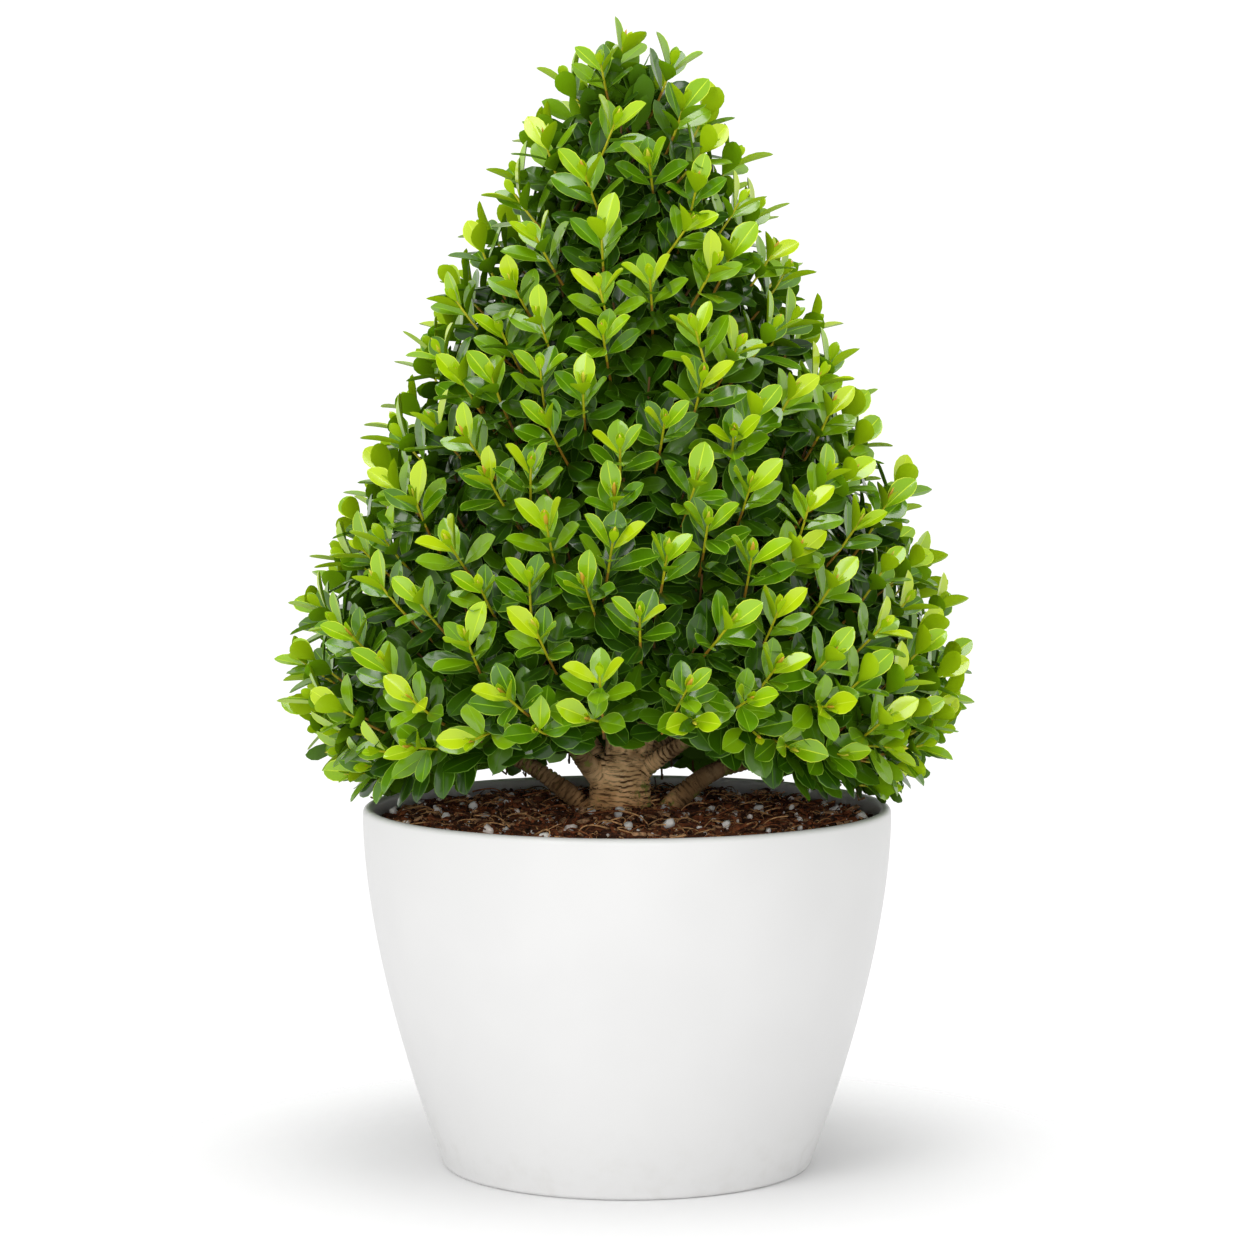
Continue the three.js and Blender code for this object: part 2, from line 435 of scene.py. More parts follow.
class Surface:
    """A material with one Principled shader, whose pattern is laid in object space."""

    def __init__(self, name):
        self.material = bpy.data.materials.new(name)
        self.material.use_nodes = True
        self.graph = Graph(self.material.node_tree)
        self.output = self.graph.node("ShaderNodeBsdfPrincipled")
        self.shader = self.output.output.node
        self.graph.node("ShaderNodeOutputMaterial", None, {"Surface": self.output})

    @functools.cached_property
    def place(self):
        return self.graph.node("ShaderNodeTexCoord", None, None, output="Object")

    def set(self, **values):
        """Sets or links the shader's inputs, named with underscores for their spaces."""
        for name, value in values.items():
            self.graph.feed(self.shader.inputs[name.replace("_", " ")], value)
        return self

    def bump(self, height, strength, distance):
        """Lays fine relief on the surface."""
        inputs = {"Height": height, "Strength": strength, "Distance": distance}
        self.set(Normal=self.graph.node("ShaderNodeBump", None, inputs))
        return self


def planter_material(colour):
    """Satin moulded plastic: a fine eggshell texture, and a faint bloom of dust near the foot."""
    surface = Surface("planter_satin")
    graph, place = surface.graph, surface.place
    near_foot = 1 - graph.height(place).between(0.0, 0.05)
    dusty = near_foot * graph.noise(place, 90).between(0.45, 0.75)
    clouds = graph.noise(place, 14, 2.0)
    tint = graph.blend(clouds.between(0.3, 0.7), rgba(colour), rgba(colour, 0.975))
    dust = [colour[0] * 0.86, colour[1] * 0.85, colour[2] * 0.82]
    surface.set(
        Base_Color=graph.blend(dusty * 0.35, tint, rgba(dust)),
        Roughness=graph.noise(place, 60) * 0.12 + 0.34 + dusty * 0.15,
        Specular_IOR_Level=0.5,
    )
    return surface.bump(graph.noise(place, 1500, 2.0), 0.08, 0.0002).material


def soil_material(colour):
    """Damp, dark, crumbly earth."""
    surface = Surface("soil_earth")
    graph, place = surface.graph, surface.place
    lumps = graph.noise(place, 160, 5.0, 0.65)
    damp = graph.noise(place, 22, 2.0)
    dark = rgba(colour, 0.08)
    surface.set(
        Base_Color=graph.blend(lumps.between(0.35, 0.65), dark, rgba(colour)),
        Roughness=0.98 - damp.between(0.5, 0.8) * 0.2,
        Specular_IOR_Level=0.25,
    )
    return surface.bump(graph.noise(place, 520, 6.0, 0.7), 0.9, 0.0016).material


def litter_material(name, colour, grain=420.0, roughness=0.85):
    """Small dry things lying on the soil."""
    surface = Surface(name)
    graph, place = surface.graph, surface.place
    streaks = graph.noise(place, grain, 3.0, 0.6)
    dark = rgba(colour, 0.35)
    surface.set(
        Base_Color=graph.blend(streaks.between(0.3, 0.62), dark, rgba(colour)),
        Roughness=roughness,
        Specular_IOR_Level=0.3,
    )
    return surface.bump(streaks, 0.5, 0.0006).material


def bark_material(colour, groove_and_shade, moss):
    """Tan wrinkled bark, dark in its grooves (partly its own colour, partly painted shade),
    reddish low down, with specks of moss, and painted shade on the low boughs.
    """
    surface = Surface("bark_wrinkled")
    graph, place = surface.graph, surface.place
    relief, along = (
        graph.node("ShaderNodeAttribute", {"attribute_name": name}, None, output="Fac")
        for name in ("relief", "along")
    )
    patches = graph.noise(place, 90, 3.0, 0.6)
    turned = graph.node("ShaderNodeSeparateXYZ", None, {0: place}).output.node.outputs
    east, north, height = (Socket(graph, output) for output in turned)
    inputs = {"X": east, "Y": north, "Z": along * 4.5}
    across = graph.node("ShaderNodeCombineXYZ", None, inputs)
    streaks = graph.noise(across, 150, 4.0, 0.65, 0.6)
    pale = rgba([min(1.0, c * 1.38 + 0.05) for c in colour])
    skin = graph.blend(patches.between(0.4, 0.65), rgba(colour), pale)
    red = rgba([colour[0] * 0.95, colour[1] * 0.68, colour[2] * 0.5])
    low = 1 - height.between(SOIL_HEIGHT, SOIL_HEIGHT + 0.022)
    skin = graph.blend(low * 0.6, skin, red)
    # Partly painted shade: the fine cracks and the carved grooves are darkened towards the groove
    # colour. This is the bark's own darker fissures and also the shade that falls in them.
    skin = graph.blend(streaks.between(0.48, 0.66) * 0.75, skin, rgba(groove_and_shade))
    skin = graph.blend(1 - relief.between(0.42, 0.84), skin, rgba(groove_and_shade))
    # Painted shade: below the crown, the boughs beyond the trunk's girth are darkened towards the
    # groove colour, standing in for the crown's shadow on them.
    level = graph.node("ShaderNodeCombineXYZ", None, {"X": east, "Y": north})
    shaded = graph.length(level).between(0.017, 0.034) * (1 - height.between(0.225, 0.25))
    skin = graph.blend(shaded * 0.8, skin, rgba(groove_and_shade))
    mossy = graph.noise(place, 260, 3.0, 0.6).between(0.5, 0.6)
    mossy = mossy * graph.noise(place, 42, 1.0).between(0.49, 0.58)
    surface.set(
        Base_Color=graph.blend(mossy * 0.75, skin, rgba(moss)),
        Roughness=0.85,
        Specular_IOR_Level=0.3,
    )
    return surface.bump(streaks * -1.0, 0.6, 0.0007).material


def plain_material(name, colour, roughness, coat=0.0, specular=0.5):
    """One even finish. The small parts of the foliage take their variety from many of these."""
    surface = Surface(name)
    surface.set(
        Base_Color=rgba(colour),
        Roughness=roughness,
        Coat_Weight=coat,
        Coat_Roughness=0.12,
        Specular_IOR_Level=specular,
    )
    return surface.material


# ---- Reading the frame ----------------------------------------------------


# Each bough of the frame: its radius at either end, and the bends of its centre line, in
# millimetres.
BOUGH_ROUTES = {
    "leader_bough": ((9.5, 6.5), ((-4, 0, 214), (-3, 1, 238), (1, 3, 262), (4, 4, 290))),
    "upright_bough": ((6.6, 4.6), ((5, 4, 212), (10, 6, 236), (16, 9, 258), (22, 12, 284))),
    "front_left_bough": (
        (6.8, 3.6),
        ((-12, -4, 210), (-23, -15, 224), (-33, -27, 241), (-43, -42, 262)),
    ),
    "front_right_bough": (
        (5.8, 3.4),
        ((4, -3, 213), (18, -9, 225), (32, -17, 235), (52, -32, 252)),
    ),
    "back_left_bough": (
        (7.0, 4.0),
        ((-10, 5, 212), (-20, 20, 228), (-32, 38, 244), (-46, 56, 266)),
    ),
    "back_right_bough": ((6.6, 4.0), ((3, 6, 212), (16, 22, 228), (32, 38, 244), (48, 54, 266))),
    "low_left_bough": (
        (7.2, 4.2),
        ((-17, 6, 190), (-34, 8, 205), (-50, 11, 216), (-72, 15, 227), (-104, 20, 240)),
    ),
    "low_right_bough": (
        (8.0, 4.2),
        ((18, 3, 190), (34, 5, 206), (49, 7, 216), (70, 9, 222), (106, 12, 238)),
    ),
    "low_back_bough": (
        (7.4, 4.2),
        ((0, 15, 190), (3, 30, 206), (6, 48, 218), (10, 72, 228), (14, 104, 242)),
    ),
}


class Limb:
    """A bough of the frame: a smooth centre line through its bends, and its taper."""

    def __init__(self, ends, bends):
        points = np.array(bends) * MM
        slopes = np.gradient(points, axis=0)
        pieces = [
            hermite(points[i], slopes[i], points[i + 1], slopes[i + 1], 7)[:-1]
            for i in range(len(points) - 1)
        ]
        self.points = np.vstack([*pieces, points[-1]])
        self.radii = np.linspace(ends[0], ends[1], len(self.points)) * MM
        self.way = unit(self.points[-1] - self.points[-3])


@functools.lru_cache
def limbs():
    """Every bough of the frame."""
    return [Limb(ends, bends) for ends, bends in BOUGH_ROUTES.values()]


@functools.lru_cache
def crown_tree():
    """The crown's solid, ready for rays."""
    mesh = frame["nodes"]["clipped_crown"].data
    return BVHTree.FromPolygons(
        [v.co.copy() for v in mesh.vertices], [tuple(p.vertices) for p in mesh.polygons]
    )


def underside(x, y):
    """Height of the crown's lower face over a place on the ground."""
    hit = crown_tree().ray_cast(Vector((x, y, 0)), Vector((0, 0, 1)))[0]
    return CROWN_BOTTOM if hit is None else hit.z


def crown_radius(azimuth, height):
    """How far out the foliage reaches at a height."""
    out = Vector((math.cos(azimuth), math.sin(azimuth), 0))
    start = out * (CROWN_RADIUS * 2) + Vector((0, 0, height))
    hit = crown_tree().ray_cast(start, -out)[0]
    return 0.0 if hit is None else Vector((hit.x, hit.y, 0)).length


# ---- Growth: where the shoots end -----------------------------------------


def crown_samples(rng, count):
    """Places scattered evenly over the crown's solid, each with its outward direction."""
    mesh = frame["nodes"]["clipped_crown"].data
    mesh.calc_loop_triangles()
    corners = np.array([[mesh.vertices[i].co for i in t.vertices] for t in mesh.loop_triangles])
    cross = np.cross(corners[:, 1] - corners[:, 0], corners[:, 2] - corners[:, 0])
    area = np.linalg.norm(cross, axis=1) / 2
    picks = rng.choice(len(area), count, p=area / area.sum())
    a, b = np.sqrt(rng.random(count))[:, None], rng.random(count)[:, None]
    chosen = corners[picks]
    places = (1 - a) * chosen[:, 0] + a * (1 - b) * chosen[:, 1] + a * b * chosen[:, 2]
    return places, unit(cross[picks])


def smooth_normals(places, normals, reach):
    """Averages each direction with those about it, so that facets don't show in the growth."""
    result = np.empty_like(normals)
    for i in range(0, len(places), 500):
        near = np.linalg.norm(places[i : i + 500, None] - places[None], axis=2) < reach
        result[i : i + 500] = near @ normals
    return unit(result)


def spread_out(places, spacing, first=()):
    """Picks places in turn that lie no nearer to one another than the spacing."""
    kept = list(first)
    for i in range(len(places)):
        if not kept or np.min(np.linalg.norm(places[kept] - places[i], axis=1)) > spacing:
            kept.append(i)
    return kept


def shoot_direction(normal, lift):
    """Shoots lean out of the crown and turn up to the light."""
    return unit(normal + UP * lift)


@functools.lru_cache
def crown_tips():
    """The ends of the outer shoots, of the shaded ones behind them and of those below."""
    size = foliage()
    rng = growth_rng(0)
    places, normals = crown_samples(rng, count=5000)
    places = np.vstack([[0, 0, CROWN_TOP - 10 * MM], places])
    normals = np.vstack([UP, normals])
    normals = smooth_normals(places, normals, reach=16 * MM)
    normals[0] = UP
    radial = unit(places * [1, 1, 0])
    outward = np.einsum("ij,ij->i", normals, radial)
    # Outer shoots stand on the sides and the top. Behind the trunk some hang from the underside.
    outer = (outward > 0.1) & (normals[:, 2] > -0.75)
    outer |= places[:, 2] > CROWN_TOP - 20 * MM
    out = np.linalg.norm(places[:, :2], axis=1)
    below = (normals[:, 2] < -0.55) & (places[:, 1] > -20 * MM) & (out > 40 * MM)
    hanging = spread_out(places[below], size.shoot_spacing * 0.85)
    hanging = places[below][hanging], unit(radial[below][hanging] - UP * 0.15)
    places, normals = places[outer], normals[outer]
    layers = []
    outermost = (size.shoot_spacing, 0.0)
    shaded = (size.shoot_spacing * 1.02, size.inner_depth)
    for spacing, inset in (outermost, shaded):
        kept = spread_out(places, spacing, (0,) if inset == 0 else ())
        layers.append((places[kept] - normals[kept] * inset, normals[kept]))
        order = rng.permutation(len(places))
        places, normals = places[order], normals[order]
    return [*layers, hanging]


class Shoot:
    """One leafy shoot: a short curve that ends in a bud."""

    def __init__(self, surface, normal, rng, outer):
        size = foliage()
        height = (surface[2] - CROWN_BOTTOM) / (CROWN_TOP - CROWN_BOTTOM)
        lift = mix(0.45, 1.05, min(1.0, height * 1.7)) + rng.normal(0, 0.08)
        wander = rng.normal(0, 0.11, 3)
        self.outer = outer
        self.level = unit(normal * [1, 1, 0] + 1e-6)
        self.direction = unit(shoot_direction(normal, lift) + wander)
        self.vigour = rng.uniform(0.9, 1.1)
        reach = size.leaf_length * 0.46
        proud = mix(-4.5 * MM, 3.5 * MM, height) + rng.uniform(0, 4.5 * MM)
        self.tip = surface - self.direction * reach + normal * proud
        room = 45 * MM + np.linalg.norm(self.tip[:2]) * 0.8
        self.length = min(size.shoot_length * rng.uniform(0.88, 1.1), room)
        if not outer:
            self.length *= 0.62
        start_way = unit(self.direction + self.level * 0.75 - UP * 0.05)
        bend = self.tip - self.direction * self.length * 0.5
        self.base = bend - start_way * self.length * 0.5
        pull = self.length
        self.points = hermite(self.base, start_way * pull, self.tip, self.direction * pull, 13)
        for point in self.points[:-2]:
            point[2] = max(point[2], underside(point[0], point[1]) + SHOOT_CLEARANCE)
        self.base = self.points[0]
        sideways = 0.35 + 0.58 * self.level[1] ** 2
        self.turn = (math.pi / 2 if rng.random() < sideways else 0.0) + rng.normal(0, 0.22)

    def at(self, below_tip):
        """A place on the shoot that far below its tip, and the way the shoot grows there."""
        step = np.linalg.norm(np.diff(self.points, axis=0), axis=1)
        whole = np.concatenate([[0], np.cumsum(step)])
        where = max(0.0, whole[-1] - below_tip)
        place = np.array([np.interp(where, whole, self.points[:, k]) for k in range(3)])
        index = min(len(step) - 1, int(np.searchsorted(whole, where, side="right")) - 1)
        return place, unit(self.points[index + 1] - self.points[index])


@functools.lru_cache
def shoots():
    """Every shoot, the outer ones first."""
    rng = growth_rng(1)
    made = []
    for (places, normals), outer in zip(crown_tips(), (True, False, False), strict=True):
        made += [Shoot(p, n, rng, outer) for p, n in zip(places, normals, strict=True)]
    return made


# ---- Growth: the boughs and twigs that carry them -------------------------


class Skeleton:
    """Every joint of the branches: its place, its parent, the way it grows and its thickness."""

    def __init__(self):
        self.place = []
        self.parent = []
        self.way = []
        self.path = []
        self.chains = []

    def grow(self, parent, points):
        """Adds a branch from a joint, or from nothing, and returns its last joint."""
        chain = [parent] if parent is not None else []
        for i, point in enumerate(points):
            before = self.place[parent] if parent is not None else point
            step = point - before
            length = np.linalg.norm(step)
            way = unit(step) if length > 0 else unit(points[min(i + 1, len(points) - 1)] - point)
            self.path.append((self.path[parent] if parent is not None else 0.0) + length)
            self.place.append(point)
            self.parent.append(parent)
            self.way.append(way)
            parent = len(self.place) - 1
            chain.append(parent)
        self.chains.append(chain)
        return parent

    def thicken(self, tip_radius, power):
        """Each joint is as thick as all that it carries: the old rule for pipes and trees."""
        load = np.zeros(len(self.place))
        carrying = {parent for parent in self.parent if parent is not None}
        for i in reversed(range(len(self.place))):
            if i not in carrying:
                load[i] += 1.0
            if self.parent[i] is not None:
                load[self.parent[i]] += load[i]
        self.radius = tip_radius * load ** (1 / power)


def beyond(place):
    """How far a place lies outside the crown's own outline, or inside it if negative."""
    radius = np.hypot(place[0], place[1])
    return radius - crown_radius(math.atan2(place[1], place[0]), place[2])


def held_in(place, margin):
    """The place, moved level towards the axis until it is inside the crown by the margin."""
    excess = max(0.0, beyond(place) + margin)
    radius = max(np.hypot(place[0], place[1]), 1e-6)
    kept = 1 - min(1.0, excess / radius)
    return place * [kept, kept, 1]


def carry_on(limb):
    """The line along which a bough of the frame goes on inside the crown."""
    start, way = limb.points[-1], limb.way
    azimuth = math.atan2(start[1], start[0])
    upright = max(0.0, way[2])
    height = start[2] + (CROWN_TOP - start[2]) * 0.78 * upright**3
    share = 0.15 + 0.5 * (1 - upright) / 0.65
    out = max(np.hypot(*start[:2]) * 1.12, crown_radius(azimuth, height) * share)
    leader = upright > 0.93
    if leader:
        out = crown_radius(azimuth, height) * 0.12
    end = np.array([out * math.cos(azimuth), out * math.sin(azimuth), height])
    reach = np.linalg.norm(end - start)
    end_way = unit(way + UP * 0.5)
    count = max(4, int(reach / (9 * MM)))
    return hermite(start, way * reach, end, end_way * reach * 0.8, count)


@functools.lru_cache
def skeleton():
    """Boughs carried on from the frame, then a twig to each shoot from the best joint there is."""
    rng = growth_rng(2)
    tree = Skeleton()
    for limb in limbs():
        line = carry_on(limb)
        wobble = rng.normal(0, 1.2 * MM, line.shape) * np.linspace(0, 1, len(line))[:, None]
        tree.grow(tree.grow(None, limb.points[4::2]), (line + wobble)[1:])
    waiting = list(range(len(shoots())))
    bases = np.array([s.base for s in shoots()])
    ways = np.array([unit(s.points[1] - s.points[0]) for s in shoots()])
    cost = np.full(len(bases), np.inf)
    best = np.zeros(len(bases), int)

    def look_again(first):
        """Lets the shoots that wait see the joints added since."""
        place = np.array(tree.place[first:])
        path = np.array(tree.path[first:])
        way = np.array(tree.way[first:])
        gap = bases[waiting][:, None] - place[None]
        distance = np.linalg.norm(gap, axis=2)
        towards = np.einsum("ijk,jk->ij", gap, way) / np.maximum(distance, 1e-9)
        price = distance * (1.3 - 0.3 * towards) + 0.3 * path[None]
        too_near = distance < 6 * MM
        price[too_near] += 20 * MM
        choice = price.argmin(1)
        lowest = price[np.arange(len(waiting)), choice]
        for row, shoot in enumerate(waiting):
            if lowest[row] < cost[shoot]:
                cost[shoot] = lowest[row]
                best[shoot] = first + choice[row]

    look_again(0)
    while waiting:
        shoot = min(waiting, key=lambda i: cost[i])
        waiting.remove(shoot)
        parent = int(best[shoot])
        start, end = tree.place[parent], bases[shoot]
        reach = np.linalg.norm(end - start)
        leave = unit(tree.way[parent] + unit(end - start) * 1.2)
        count = max(3, int(reach / (8 * MM)) + 1)
        line = hermite(start, leave * reach, end, ways[shoot] * reach * 0.8, count)[1:]
        line[:-1] = [held_in(point, TWIG_MARGIN) for point in line[:-1]]
        first = len(tree.place)
        tree.grow(parent, line)
        if waiting:
            look_again(first)
    tree.thicken(tip_radius=foliage().stem_radius * 1.25, power=2.45)
    return tree


# ---- Growth: leaves -------------------------------------------------------

# For the pairs of leaves from the bud down: how far below it each is set, how wide it opens,
# and its length against a full leaf's.
PAIR_GAPS = (0.8, 4.0, 5.6, 6.6, 7.2, 7.6, 8.0, 8.4, 8.8, 9.2)
PAIR_OPENING = (12, 34, 47, 51, 55, 59, 63, 67, 70, 72)
PAIR_LENGTH = (0.40, 0.92, 0.90, 1.04, 1.06, 1.06, 1.04, 1.00, 0.97, 0.94)
KINDS = ("new", "green", "dark")


def kind_of(pair, outer):
    """New growth at the tip, full green below it and dark old leaves in the shade."""
    if not outer:
        return 1 if pair < 1 else 2
    if pair < 2:
        return 0
    return 1 if pair < 4 else 2


# Where a leaf is set, the way it points, the way its face looks, its size and its looks.
Leaf = namedtuple("Leaf", "place along face length kind tone shape")


def leaves_of(shoot, rng):
    """Opposite pairs, each turned a quarter from the last."""
    size = foliage()
    spray_tone = rng.integers(0, LEAF_TONES)
    light = unit(UP * 0.6 + shoot.level * 0.6)
    below = 0.0
    made = []
    for pair in range(len(PAIR_GAPS)):
        below += PAIR_GAPS[pair] * MM * shoot.vigour * rng.uniform(0.85, 1.15)
        if below > shoot.length * 0.97:
            break
        if not shoot.outer and pair == 0:
            continue
        place, way = shoot.at(below)
        side = square_to(np.cross(UP, shoot.level), way)
        front = np.cross(way, side)
        turn = shoot.turn + pair * math.pi / 2 + rng.normal(0, 0.16)
        across = side * math.cos(turn) + front * math.sin(turn)
        kind = kind_of(pair, shoot.outer)
        for hand in (1, -1):
            if pair > 3 and rng.random() < FALLEN:
                continue
            out = square_to(unit(across * hand + rng.normal(0, 0.07, 3)), way)
            lean = 4 * np.dot(out, shoot.level) if pair > 0 else 0
            opening = math.radians(PAIR_OPENING[pair] + lean + rng.normal(0, 6))
            along = way * math.cos(opening) + out * math.sin(opening)
            along = unit(along - UP * 0.05 * max(0, pair - 2) * rng.random())
            face = way * math.sin(opening) - out * math.cos(opening)
            towards_light = 0.0 if pair < 1 else 0.42
            face = square_to(mix(face, light, towards_light), along)
            length = size.leaf_length * PAIR_LENGTH[pair] * shoot.vigour * rng.uniform(0.9, 1.08)
            tone = (spray_tone + (rng.random() < ODD_TONE)) % LEAF_TONES
            start = place + out * size.stem_radius * 0.8
            end = start + along * length
            arched = end[1] < 0 and abs(end[0]) < ARCH_HALF_WIDTH
            if end[2] < underside(end[0], end[1]) - size.droop * (1 if arched else 4):
                continue
            above_skirt = end[2] > CROWN_BOTTOM + SKIRT_HEIGHT
            if pair > 2 and above_skirt and beyond(end) > OLD_LEAF_REACH:
                continue
            shape = rng.integers(0, LEAF_SHAPES)
            made.append(Leaf(start, along, face, length, kind, tone, shape))
    return made


@functools.lru_cache
def leaves():
    """Every leaf of every shoot."""
    rng = growth_rng(3)
    return [leaf for shoot in shoots() for leaf in leaves_of(shoot, rng)]


# ---- Leaf shapes ----------------------------------------------------------

BLADE, RIM, RIB, UNDERSIDE = range(4)


def mark_faces(mesh, zone):
    """Stores the zone of each face."""
    layer = mesh.attributes.new("zone", "INT", "FACE")
    layer.data.foreach_set("value", zone)


def leaf_outline(share):
    """Half the width of an oval leaf, widest a little past its middle, against its widest."""
    return math.sin(math.pi * share**1.38) ** 0.7


def leaf_prototype(name, rng, rows, kind):
    """A leaf one unit long, its stalk at the origin, pointing along Y with its face up.

    The upper face has a pale rim and midrib in strips of their own, and the underside shares
    its edge, so the leaf is a closed thin blade.
    """
    rim, rib = 0.07, 0.045
    across = [-1, rim - 1, -rib, rib, 1 - rim, 1]
    zones = [RIM, BLADE, RIB, BLADE, RIM]
    half = 0.26 * rng.uniform(0.94, 1.06)
    fold = (0.40, 0.34, 0.24)[kind] * rng.uniform(0.7, 1.3)
    bow = (0.10, 0.40, 0.70)[kind] * rng.uniform(0.7, 1.3)
    curl = (-0.04, -0.06, -0.12)[kind] + rng.normal(0, 0.05)
    twist = rng.normal(0, 0.10)
    thick = 0.02

    def lift(x, y):
        """How high the blade stands over a flat one."""
        edge = abs(x)
        return fold * edge - bow * edge * edge / half * 0.5 + curl * y * y + twist * x * y

    def place(x, y, drop=0.0):
        return (x, y, lift(x, y) - drop)

    shares = [(i + 1) / (rows + 1) for i in range(rows)]
    shares = [mix(s, 0.5 - 0.5 * math.cos(math.pi * s), 0.7) for s in shares]
    places = [(0, 0, 0), (0, 1, lift(0, 1))]
    tops, bottoms = [], []
    for share in shares:
        width = half * leaf_outline(share)
        row = []
        for x in across:
            row.append(len(places))
            places.append(place(x * width, share))
        tops.append(row)
        bottoms.append([row[0], len(places), row[-1]])
        places.append(place(0, share, thick))
    faces, zone = [], []

    def strip(first, second, flip, zone_of):
        for i in range(len(first) - 1):
            quad = (first[i], first[i + 1], second[i + 1], second[i])
            faces.append((quad[0], *quad[:0:-1]) if flip else quad)
            zone.append(zone_of[i])

    def fan(apex, row, flip, zone_of):
        for i in range(len(row) - 1):
            corner = (apex, row[i + 1], row[i])
            faces.append(corner[::-1] if flip else corner)
            zone.append(zone_of[i])

    under = [UNDERSIDE, UNDERSIDE]
    for first, second in zip(tops, tops[1:]):
        strip(first, second, False, zones)
    for first, second in zip(bottoms, bottoms[1:]):
        strip(first, second, True, under)
    fan(0, tops[0], False, zones)
    fan(1, tops[-1], True, zones)
    fan(0, bottoms[0], True, under)
    fan(1, bottoms[-1], False, under)
    made = mesh_object(name, places, faces)
    mark_faces(made.data, zone)
    sides = [set() for _ in made.data.edges]
    for face in made.data.polygons:
        for loop in face.loop_indices:
            sides[made.data.loops[loop].edge_index].add(zone[face.index] == UNDERSIDE)
    crease = made.data.attributes.new("sharp_edge", "BOOLEAN", "EDGE")
    crease.data.foreach_set("value", [len(both) > 1 for both in sides])
    return made


def bud_prototype(name, rng):
    """A pointed upright bud held between two scales."""
    rings = [(0.0, 0.09), (0.25, 0.14), (0.55, 0.13), (0.82, 0.07)]
    sides, flatness = 6, 0.75
    places = [(0, -0.02, 0)]
    for y, radius in rings:
        places += [(radius * east, y, flatness * radius * up) for east, up in around(sides)]
    places.append((rng.normal(0, 0.03), 1.0, 0))
    faces = [(0, 1 + i, 1 + (i + 1) % sides) for i in range(sides)]
    faces += band_faces(1, len(rings), sides, flip=True)
    last = 1 + (len(rings) - 1) * sides
    faces += [(last + i, len(places) - 1, last + (i + 1) % sides) for i in range(sides)]
    made = mesh_object(name, places, faces)
    mark_faces(made.data, [BLADE] * len(faces))
    return made


# ---- Scattering with Geometry Nodes ---------------------------------------


def prototype_collection(name, prototypes):
    """Holds the shapes to be repeated, out of the scene."""
    held = bpy.data.collections.new(name)
    for shape in prototypes:
        bpy.context.scene.collection.objects.unlink(shape)
        held.objects.link(shape)
    return held


def remove_prototypes(held):
    """Clears the repeated shapes away once they have been set out."""
    for shape in list(held.objects):
        bpy.data.objects.remove(shape)
    bpy.data.collections.remove(held)


def new_tree(name, sockets):
    """The graph of a geometry tree, and the geometry and the named inputs it is given."""
    tree = bpy.data.node_groups.new(name, "GeometryNodeTree")
    sockets = {"Geometry": "Geometry", **sockets}
    for title, kind in sockets.items():
        tree.interface.new_socket(title, in_out="INPUT", socket_type="NodeSocket" + kind)
    tree.interface.new_socket("Geometry", in_out="OUTPUT", socket_type="NodeSocketGeometry")
    graph = Graph(tree)
    outputs = graph.node("NodeGroupInput").output.node.outputs
    return graph, {title: Socket(graph, outputs[title]) for title in sockets}


def through_tree(name, mesh, tree, values):
    """The plain piece that a tree makes of a mesh, with the tree's inputs set by identifier."""
    host = add_object(name + "_host", mesh)
    modifier = host.modifiers.new(tree.name, "NODES")
    modifier.node_group = tree
    for item in tree.interface.items_tree:
        if item.in_out == "INPUT" and item.name in values:
            modifier[item.identifier] = values[item.name]
    piece = baked_down(host, name)
    drop_attributes(piece)
    return piece


def leaf_tree(name, materials):
    """Sets a shape on every point by the point's own directions, size and choice of shape.

    materials is a list of (zone, tone, material), where a tone of None is every tone.
    """
    graph, given = new_tree(name, {"Shapes": "Collection", "Scale": "Float"})
    turned = graph.node(
        "FunctionNodeAxesToRotation",
        {"primary_axis": "Y", "secondary_axis": "Z"},
        {
            "Primary Axis": graph.attribute("along", "FLOAT_VECTOR"),
            "Secondary Axis": graph.attribute("face", "FLOAT_VECTOR"),
        },
    )
    sized = graph.node(
        "ShaderNodeVectorMath",
        {"operation": "SCALE"},
        {0: graph.attribute("size", "FLOAT_VECTOR"), "Scale": given["Scale"]},
    )
    shape = graph.attribute("shape", "INT")
    placed = graph.instances(given["Geometry"], given["Shapes"], shape, turned, sized)
    whole = graph.node("GeometryNodeRealizeInstances", None, {"Geometry": placed})
    zone, tone = graph.attribute("zone", "INT"), graph.attribute("tone", "INT")
    for wanted_zone, wanted_tone, material in materials:
        chosen = zone == float(wanted_zone)
        if wanted_tone is not None:
            chosen = chosen * (tone == float(wanted_tone))
        whole = graph.painted(whole, chosen, material)
    return graph.ended(whole)


def set_out(name, items, shapes, materials):
    """One joined piece of many small shapes, from a list of Leaf-like items."""
    points = bpy.data.meshes.new(name + "_points")
    points.from_pydata([tuple(i.place) for i in items], [], [])
    add_attribute(points, "along", "FLOAT_VECTOR", [i.along for i in items])
    add_attribute(points, "face", "FLOAT_VECTOR", [i.face for i in items])
    add_attribute(points, "size", "FLOAT_VECTOR", [[i.length] * 3 for i in items])
    add_attribute(points, "shape", "INT", [i.shape for i in items])
    add_attribute(points, "tone", "INT", [i.tone for i in items])
    values = {"Shapes": shapes, "Scale": 1.0}
    return through_tree(name, points, leaf_tree(name, materials), values)


